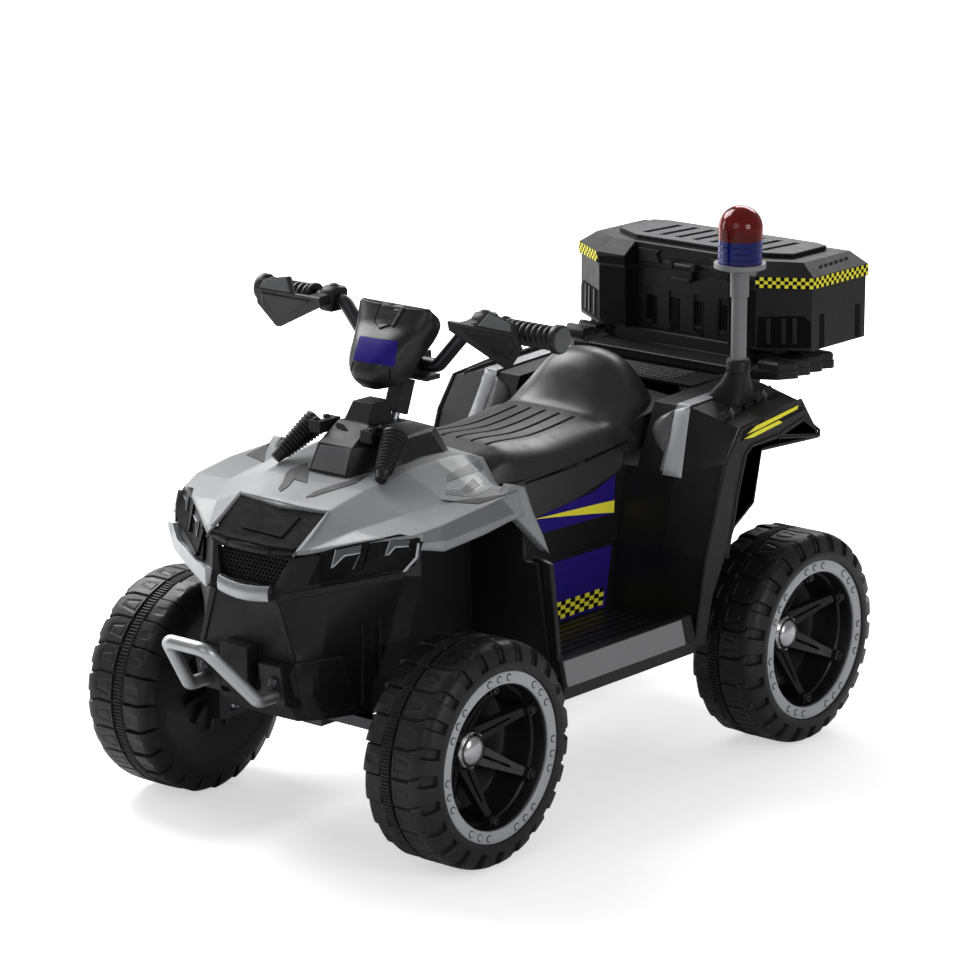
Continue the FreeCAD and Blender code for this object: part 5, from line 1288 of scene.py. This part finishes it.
def checker(odd):
    """Every other square of the grid between four corners of the view."""
    tl, tr, br, bl = (Vector(p) for p in CHECKS)
    squares = []
    for i in range(CHECK_ROWS):
        for j in range(CHECK_COLS):
            if (i + j) % 2 == odd:
                square = []
                for a, b in ((i, j), (i, j + 1), (i + 1, j + 1), (i + 1, j)):
                    top, foot = tl.lerp(tr, b / CHECK_COLS), bl.lerp(br, b / CHECK_COLS)
                    square.append(top.lerp(foot, a / CHECK_ROWS))
                squares.append(square)
    return squares


def guard_lips():
    """Front edges of the footwells, with soft edges."""
    rings = [[(x, y, z) for x, z in GUARD_LIP] for y in GUARD_LIP_Y]
    ob = Mesh().twins(rings).make("guard_edge_lips", "body_black")
    soft_edges = ob.modifiers.new("soft_edges", "BEVEL")
    soft_edges.width = GUARD_LIP_ROUND * MM
    soft_edges.segments = 2
    soft_edges.limit_method = "ANGLE"
    soft_edges.angle_limit = math.radians(30)
    return ob


def footwell_treads():
    m = Mesh()
    for side in (1, -1):
        for i in range(TREADS):
            x = side * (TREAD_FIRST + i * TREAD_PITCH)
            low = (x - TREAD_HALF, TREAD_Y[0], TREAD_Z[0])
            m.block(low, (x + TREAD_HALF, TREAD_Y[1], TREAD_Z[1]), TREAD_CHAMFER)
    return m


blue_film = wall_pieces([UPPER_DECAL, LOWER_DECAL], FILM_LIFT)
yellow_film = wall_pieces([SIDE_STRIPE] + checker(0), STRIPE_LIFT)
put(blue_film.make("side_decals_blue", "decal_blue"), "chassis", "body_black")
put(wall_pieces([UPPER_PANEL], FILM_LIFT).make("upper_side_panels", "side_grey"), "chassis", "body_black")
put(yellow_film.make("side_decals_yellow", "decal_yellow"), "chassis", "body_black")
put(wall_pieces(checker(1), STRIPE_LIFT).make("side_decals_black", "decal_black"), "chassis", "body_black")
put(guard_lips(), "chassis", "body_black")
inlay("side_panel_ridges", "body_black", "body_black", tree_of("chassis_tub"), [SIDE_RIDGE],
      lift=2.0, sink=0.8, cell=6, mirror=True)
put(footwell_treads().make("footwell_treads", "rubber_black"), "chassis", "body_black")


# Rear fenders

LIP_X, LIP_R, FENDER_X = 238.6, 3.0, 240.4
FENDER_OUT = [(118, 168), (139, 279), (178, 396), (208, 437), (339, 450), (378, 396)]
ARCH_EDGE = [(378, 396), (252, 402), (236, 335), (195, 311), (150, 230), (135, 168)]
FENDER_BEAD = SHIN((368, 790), (405, 560), (430, 432), (452, 398), (545, 362))
TAIL_BEAD = SHIN((545, 362), (634, 300), (688, 345), (688, 364), (545, 372))
# Outlines of the fender's hollow and scoop, drawn near-black as painted shade
FENDER_HOLLOW_SHADE = [SHIN((392, 690), (412, 560), (438, 432), (458, 404), (545, 374), (640, 372), (500, 404),
                       (488, 410), (458, 596), (400, 664)),
                  SHIN((566, 360), (634, 314), (674, 346), (674, 358))]
HOLLOW_SHADE_LIFT = 0.6
BULGE = SHIN((112, 345), (122, 318), (145, 296), (194, 274), (186, 345), (170, 392), (152, 428), (130, 402))
STRIP = SHIN((190, 276), (244, 264), (232, 350), (212, 512), (147, 500), (172, 392))
NOTCHES = ((338, 300), (376, 278), (414, 256), (452, 236), (490, 216), (526, 198))
NOTCH = ((0, 0), (26, -18), (48, 4), (18, 26))
TAIL_FIELD = TAIL((738, 550), (1056, 406), (1068, 466), (1008, 496), (702, 650), (712, 608))
TAIL_STRIPES = [TAIL((735, 606), (790, 556), (1034, 437), (1028, 459), (815, 570)),
                TAIL((718, 634), (770, 600), (922, 525), (942, 536), (775, 622))]
fender_tree = tree_of("rear_cowl")


def fender_lips():
    """Round edges along the fenders and the wheel arches."""
    m = Mesh()
    for line in (FENDER_OUT, ARCH_EDGE):
        for side in (1, -1):
            m.tube([(side * LIP_X, y, z) for y, z in line], LIP_R, 10)
    bead(m, FENDER_BEAD, FENDER_X, 2.6)
    bead(m, TAIL_BEAD, FENDER_X, 2.0)
    return m


put(fender_lips().make("fender_lips", "body_black", 40), "chassis", "body_black")
# Flat near-black plates in the fender hollows: painted shade
m = Mesh()
for outline in FENDER_HOLLOW_SHADE:
    wall_piece(m, outline, FENDER_X, HOLLOW_SHADE_LIFT)
put(m.make("fender_hollow_painted_shade", "deep_black"), "chassis", "body_black")
# Domed bulges on the rear fenders, drawn lighter grey: painted highlight
inlay("thigh_bulges_painted_highlight", "bulge_painted_highlight", "trim_grey", fender_tree, [BULGE], angle=60,
      lift=1.0, sink=1.0, cell=1.6, mirror=True, taper=0.02, dome=7.0)
inlay("fender_strips", "ring_silver", "trim_silver", tree_of("rear_cowl", "fender_trims"), [STRIP],
      angle=50, lift=1.4, sink=1.0, cell=3, mirror=True, dome=2.0)
m = Mesh()
for x, y in NOTCHES:
    tab(m, SHIN(*((x + dx, y + dy) for dx, dy in NOTCH)), fender_tree, lift=4.5, sink=1.5, taper=0.12)
put(m.make("fender_notches", "body_black"), "chassis", "body_black")
inlay("tail_decal_dark", "decal_black", "body_black", fender_tree, [TAIL_FIELD],
      lift=0.5, sink=0.5, cell=6, mirror=True)
inlay("tail_decal_stripes", "decal_yellow", "body_black", fender_tree, TAIL_STRIPES,
      lift=0.8, sink=0.3, cell=6, mirror=True)


# Deck, rack, beacon foot and back of the tub

RIDGES, RIDGE_FIRST, RIDGE_PITCH = 6, 283, 9.5
RIDGE_HALF, RIDGE_BOW, RIDGE_Z, RIDGE_R = 72, 5, 462.9, 1.7
RACK_COVERS = [((-118, 346, 473), (118, 402, 476.5)), ((-112, 396, 473), (112, 545, 494.4))]
RACK_CHAMFER = 1.2
TEETH, TOOTH_FIRST, TOOTH_PITCH = 4, 370, 27
TOOTH = [(146, 1), (178, 1), (192, 21), (192, 26), (146, 26)]
TOOTH_Z, TOOTH_HIGH, TOOTH_CHAMFER = 472, 13, 3.0
BEACON_AT = Matrix.Translation((193, 264, 0))
# Rows of the beacon's foot: height, middle across, half width, half length, squareness
FOOT_ROWS = [(446, 177, 30, 26, 0.4), (462, 180, 26, 23, 0.45), (482, 189, 18, 17.5, 0.7),
             (497, 193, 14.4, 14.4, 1.0)]
FOOT_SPANS, FOOT_Y, FOOT_LEAN = 32, 268, 4
FOOT_COLLAR = [(495, 14), (496, 15.6), (510, 15.6), (512, 14.4)]
LENS_RINGS, LENS_RING = (645, 653, 661), [(-1.6, 27.9), (0, 28.9), (1.6, 27.9)]
BACK_RIBS, BACK_RIB_HALF, BACK_RIB_CHAMFER = (300, 322, 344, 366, 388, 410), 82, 1.6
BACK_RIB_HIGH, BACK_RIB_IN, BACK_RIB_OUT = 4, 4, 2.6
TAIL_KNEE, TAIL_Y, TAIL_SLOPE_LOW, TAIL_SLOPE_HIGH = 346, 442, 0.2, 0.045


def deck_ridges():
    m = Mesh()
    for i in range(RIDGES):
        y = RIDGE_FIRST + i * RIDGE_PITCH
        xs = range(-RIDGE_HALF, RIDGE_HALF + 1, 8)
        m.tube([(x, y + RIDGE_BOW * (x / RIDGE_HALF) ** 2, RIDGE_Z) for x in xs], RIDGE_R, 8)
    return m


def rack_teeth():
    m = Mesh()
    for i in range(TEETH):
        tooth = [(x, TOOTH_FIRST + TOOTH_PITCH * i + y, TOOTH_Z) for x, y in TOOTH]
        m.prism(tooth, TOOTH_HIGH, TOOTH_CHAMFER)
        m.prism(mirrored(tooth), TOOTH_HIGH, TOOTH_CHAMFER)
    return m


def beacon_socket():
    """A foot that turns from square to round, with a collar for the pole."""
    rings = []
    low, high = FOOT_ROWS[0][0], FOOT_ROWS[-1][0]
    for z, x, half, long, power in FOOT_ROWS:
        y = FOOT_Y - FOOT_LEAN * (z - low) / (high - low)
        ring = []
        for i in range(FOOT_SPANS):
            dx, dy = superround(TAU * i / FOOT_SPANS, half, long, power)
            ring.append((x + dx, y + dy, z))
        rings.append(ring)
    return Mesh().rings(rings).lathe(FOOT_COLLAR, 40, "z", BEACON_AT)


def back_ribs():
    """Low ribs that follow the tail wall, which is steeper below its knee."""
    m = Mesh()
    for z in BACK_RIBS:
        y = TAIL_Y + (z - TAIL_KNEE) * (TAIL_SLOPE_LOW if z < TAIL_KNEE else TAIL_SLOPE_HIGH)
        low = (-BACK_RIB_HALF, y - BACK_RIB_IN, z - BACK_RIB_HIGH)
        m.block(low, (BACK_RIB_HALF, y + BACK_RIB_OUT, z + BACK_RIB_HIGH), BACK_RIB_CHAMFER)
    return m


put(deck_ridges().make("deck_ridges", "body_black", 50), "chassis", "body_black")
m = Mesh()
for low, high in RACK_COVERS:
    m.block(low, high, RACK_CHAMFER)
put(m.make("rack_cover", "body_black"), "chassis", "body_black")
put(rack_teeth().make("rack_teeth", "body_black"), "chassis", "body_black")
put(beacon_socket().make("beacon_socket", "body_black", 45), "chassis", "body_black", "beacon_foot")
m = Mesh()
for z in LENS_RINGS:
    m.lathe([(z + dz, r) for dz, r in LENS_RING], 48, "z", BEACON_AT)
put(m.make("beacon_lens_rings", "lens_blue", 30), "chassis", "lens_blue")
put(back_ribs().make("tub_back_ribs", "body_black"), "chassis", "body_black")


# Storage box

LID_PLAN = [Vector((132, 382, 0)), Vector((196, 423, 0)), Vector((196, 548, 0))]
TAPE_LOW, TAPE_HIGH, TAPE_ROWS, TAPE_COLS = 578.2, 592.4, 3, (14, 22)
TAPE_SINK, TAPE_LIFT = 0.3, 0.4
VENTS, VENT_FIRST, VENT_STEP = 6, (1244, 372), (25, -8)
VENT = ((0, 0), (15, -5), (18, 8), (3, 13))
SIDE_POCKETS = [BOX((945, 622), (1172, 618), (1206, 652), (1206, 800), (938, 800)),
                BOX((1248, 610), (1270, 604), (1270, 768), (1246, 778)),
                BOX((1423, 562), (1445, 556), (1445, 722), (1420, 730))]
FRONT_POCKETS = ((198, 240), (251, 246), (306, 254), (361, 262))
FRONT_POCKET = ((2, 0), (25, 4), (24, 88), (1, 82))
POCKET_RIBS = [BOX((x, 628), (x + 22, 628), (x + 22, 798), (x, 798)) for x in (985, 1058, 1112)]
# Outlines of the shaded hollows at the box's front corners, drawn near-black as painted shade
BASE_CORNER_SHADE = [CORNER((149, 246), (249, 259), (249, 476), (151, 470)),
                CORNER((251, 259), (292, 264), (292, 481), (251, 477))]
LID_CORNER_SHADE = [CORNER((149, 212), (242, 216), (248, 249), (149, 236)),
               CORNER((245, 215), (287, 168), (296, 170), (296, 255), (250, 250))]
LID_BLOCK = CORNER((302, 176), (386, 190), (372, 208), (386, 240), (306, 228))
LID_LIP = CORNER((390, 226), (596, 255), (596, 266), (390, 239))
lid_tree = tree_of("trunk_lid")
base_tree = tree_of("trunk_base")


def lid_tape():
    """The yellow and the black squares round the lid's rim."""
    tapes = (Mesh(), Mesh())
    step = (TAPE_HIGH - TAPE_LOW) / TAPE_ROWS
    for a, b, cols in zip(LID_PLAN, LID_PLAN[1:], TAPE_COLS):
        out = Vector((b.y - a.y, a.x - b.x, 0)).normalized()
        for i in range(TAPE_ROWS):
            low, high = Vector((0, 0, TAPE_LOW + step * i)), Vector((0, 0, TAPE_LOW + step * (i + 1)))
            for j in range(cols):
                p, q = a.lerp(b, j / cols), a.lerp(b, (j + 1) / cols)
                quad = [p + low, q + low, q + high, p + high]
                rings = [[v - out * TAPE_SINK for v in quad], [v + out * TAPE_LIFT for v in quad]]
                tapes[(i + j + 1) % 2].twins(rings)
    return tapes


tape_yellow, tape_black = lid_tape()
put(tape_yellow.make("lid_tape_yellow", "decal_yellow"), "trunk_lid", "lid_black")
put(tape_black.make("lid_tape_black", "decal_black"), "trunk_lid", "lid_black")
# Flat near-black tabs where the lid's vents are: painted shade
m = Mesh()
for i in range(VENTS):
    x, y = VENT_FIRST[0] + i * VENT_STEP[0], VENT_FIRST[1] + i * VENT_STEP[1]
    tab(m, BOX(*((x + dx, y + dy) for dx, dy in VENT)), lid_tree, lift=0.5, sink=0.5)
put(m.make("lid_vent_painted_shade", "deep_black"), "trunk_lid", "lid_black")
# Near-black patches on the floors of the box's pockets and slots: painted shade
m = Mesh()
for outline in SIDE_POCKETS:
    patch(m, outline, base_tree, lift=0.4, sink=0.5, cell=6, mirror=True)
for x, y in FRONT_POCKETS:
    patch(m, FRONT(*((x + dx, y + dy) for dx, dy in FRONT_POCKET)), base_tree, lift=0.5, sink=0.5, cell=6)
put(m.make("box_pocket_painted_shade", "deep_black"), "chassis", "body_black")
inlay("box_pocket_ribs", "body_black", "body_black", base_tree, POCKET_RIBS,
      lift=1.8, sink=0.3, cell=8, mirror=True)
# Flush near-black patches on the box's and lid's front corners: painted shade
inlay("box_corner_painted_shade", "deep_black", "body_black", base_tree, BASE_CORNER_SHADE,
      lift=0.4, sink=0.5, cell=6, mirror=True)
inlay("lid_corner_painted_shade", "deep_black", "lid_black", lid_tree, LID_CORNER_SHADE, "trunk_lid",
      lift=0.4, sink=0.5, cell=6, mirror=True)
m = Mesh()
patch(m, LID_BLOCK, lid_tree, lift=3.6, sink=0.5, cell=6, mirror=True, taper=0.05)
patch(m, LID_LIP, lid_tree, lift=2.4, sink=0.5, cell=6)
put(m.make("lid_front_block", "lid_black"), "trunk_lid", "lid_black")


# Camera and lamps

CAMERA_LENS, CAMERA_SENSOR, CAMERA_END = 155.79, 36.0, 60.0
# Lamps: name, place, aim, size and power in watts
LAMPS = [
    ("key_softbox", (-2.2, 0.3, 2.5), (0, 0, 0.35), (1.8, 1.8), 92),
    ("front_fill", (0.9, -3.0, 1.7), (0, 0, 0.3), (1.6, 1.6), 9),
    ("back_rim", (-0.9, 2.6, 2.1), (0, 0, 0.4), (2.0, 1.2), 38),
    ("left_kicker", (-2.8, -1.1, 1.0), (0, 0, 0.35), (0.8, 1.6), 15),
    ("left_back_panel", (-2.6, 1.2, 0.6), (0, -0.1, 0.4), (1.8, 1.1), 12),
    ("side_fill", (3.0, -0.4, 1.3), (0, 0, 0.3), (1.2, 1.2), 18),
]


def aim(ob, place, at):
    ob.location = place
    ob.rotation_euler = (Vector(at) - Vector(place)).to_track_quat("-Z", "Y").to_euler()


scene = bpy.context.scene
camera = bpy.data.cameras.new("camera")
camera.lens = CAMERA_LENS
camera.sensor_width = CAMERA_SENSOR
camera.clip_end = CAMERA_END
scene.camera = link(bpy.data.objects.new("camera", camera))
aim(scene.camera, EYE, VIEW_AT)
for name, place, at, size, watts in LAMPS:
    lamp = bpy.data.lights.new(name, "AREA")
    lamp.shape = "RECTANGLE"
    lamp.size, lamp.size_y = size
    lamp.energy = watts
    aim(link(bpy.data.objects.new(name, lamp)), place, at)


# World and floor: white to the camera, dimmer for the light on the object

WHITE = (1, 1, 1, 1)
WORLD_LIGHT = 0.27
FLOOR_TONE, FLOOR_ROUGH = (0.9, 0.9, 0.9, 1), 0.95
GLOW_NEAR, GLOW_FAR, GLOW_LEAST = 0.7, 1.8, 0.55
FLOOR_REACH, FLOOR_Z = 9000, -0.4


def shader(tree, kind, **values):
    """A shader node with its inputs set by name."""
    n = tree.nodes.new(kind)
    for k, v in values.items():
        n.inputs[k.replace("_", " ")].default_value = v
    return n


def white_to_camera(tree, plain, white, out):
    """White to the camera and through clear parts, and the plain shader for all other light."""
    path = shader(tree, "ShaderNodeLightPath")
    either = shader(tree, "ShaderNodeMath")
    either.operation = "MAXIMUM"
    mix = shader(tree, "ShaderNodeMixShader")
    tree.links.new(path.outputs["Is Camera Ray"], either.inputs[0])
    tree.links.new(path.outputs["Is Transmission Ray"], either.inputs[1])
    tree.links.new(either.outputs[0], mix.inputs[0])
    tree.links.new(plain.outputs[0], mix.inputs[1])
    tree.links.new(white.outputs[0], mix.inputs[2])
    tree.links.new(mix.outputs[0], out.inputs[0])


def studio_world():
    world = bpy.data.worlds.new("studio")
    world.use_nodes = True
    tree = world.node_tree
    tree.nodes.clear()
    dim = shader(tree, "ShaderNodeBackground", Color=WHITE, Strength=WORLD_LIGHT)
    white = shader(tree, "ShaderNodeBackground", Color=WHITE, Strength=1.0)
    white_to_camera(tree, dim, white, shader(tree, "ShaderNodeOutputWorld"))
    return world


def floor_material():
    """A pale floor that fades to white away from the object and keeps its shadow."""
    mat = bpy.data.materials.new("pale_floor")
    mat.use_nodes = True
    tree = mat.node_tree
    plain = tree.nodes["Principled BSDF"]
    plain.inputs["Base Color"].default_value = FLOOR_TONE
    plain.inputs["Roughness"].default_value = FLOOR_ROUGH
    plain.inputs["Specular IOR Level"].default_value = 0.0
    glow = shader(tree, "ShaderNodeEmission", Color=WHITE)
    place = shader(tree, "ShaderNodeNewGeometry")
    far = shader(tree, "ShaderNodeVectorMath")
    far.operation = "LENGTH"
    fade = shader(tree, "ShaderNodeMapRange", From_Min=GLOW_NEAR, From_Max=GLOW_FAR, To_Min=GLOW_LEAST,
                  To_Max=1.0)
    both = shader(tree, "ShaderNodeAddShader")
    tree.links.new(place.outputs["Position"], far.inputs[0])
    tree.links.new(far.outputs["Value"], fade.inputs["Value"])
    tree.links.new(fade.outputs["Result"], glow.inputs["Strength"])
    tree.links.new(plain.outputs[0], both.inputs[0])
    tree.links.new(glow.outputs[0], both.inputs[1])
    white_to_camera(tree, plain, both, tree.nodes["Material Output"])
    return mat


scene.world = studio_world()
corners = [(x * FLOOR_REACH, y * FLOOR_REACH, FLOOR_Z) for x, y in ((-1, -1), (1, -1), (1, 1), (-1, 1))]
new_obj("floor", corners, [(0, 1, 2, 3)], floor_material())
scene.view_settings.view_transform = "Standard"
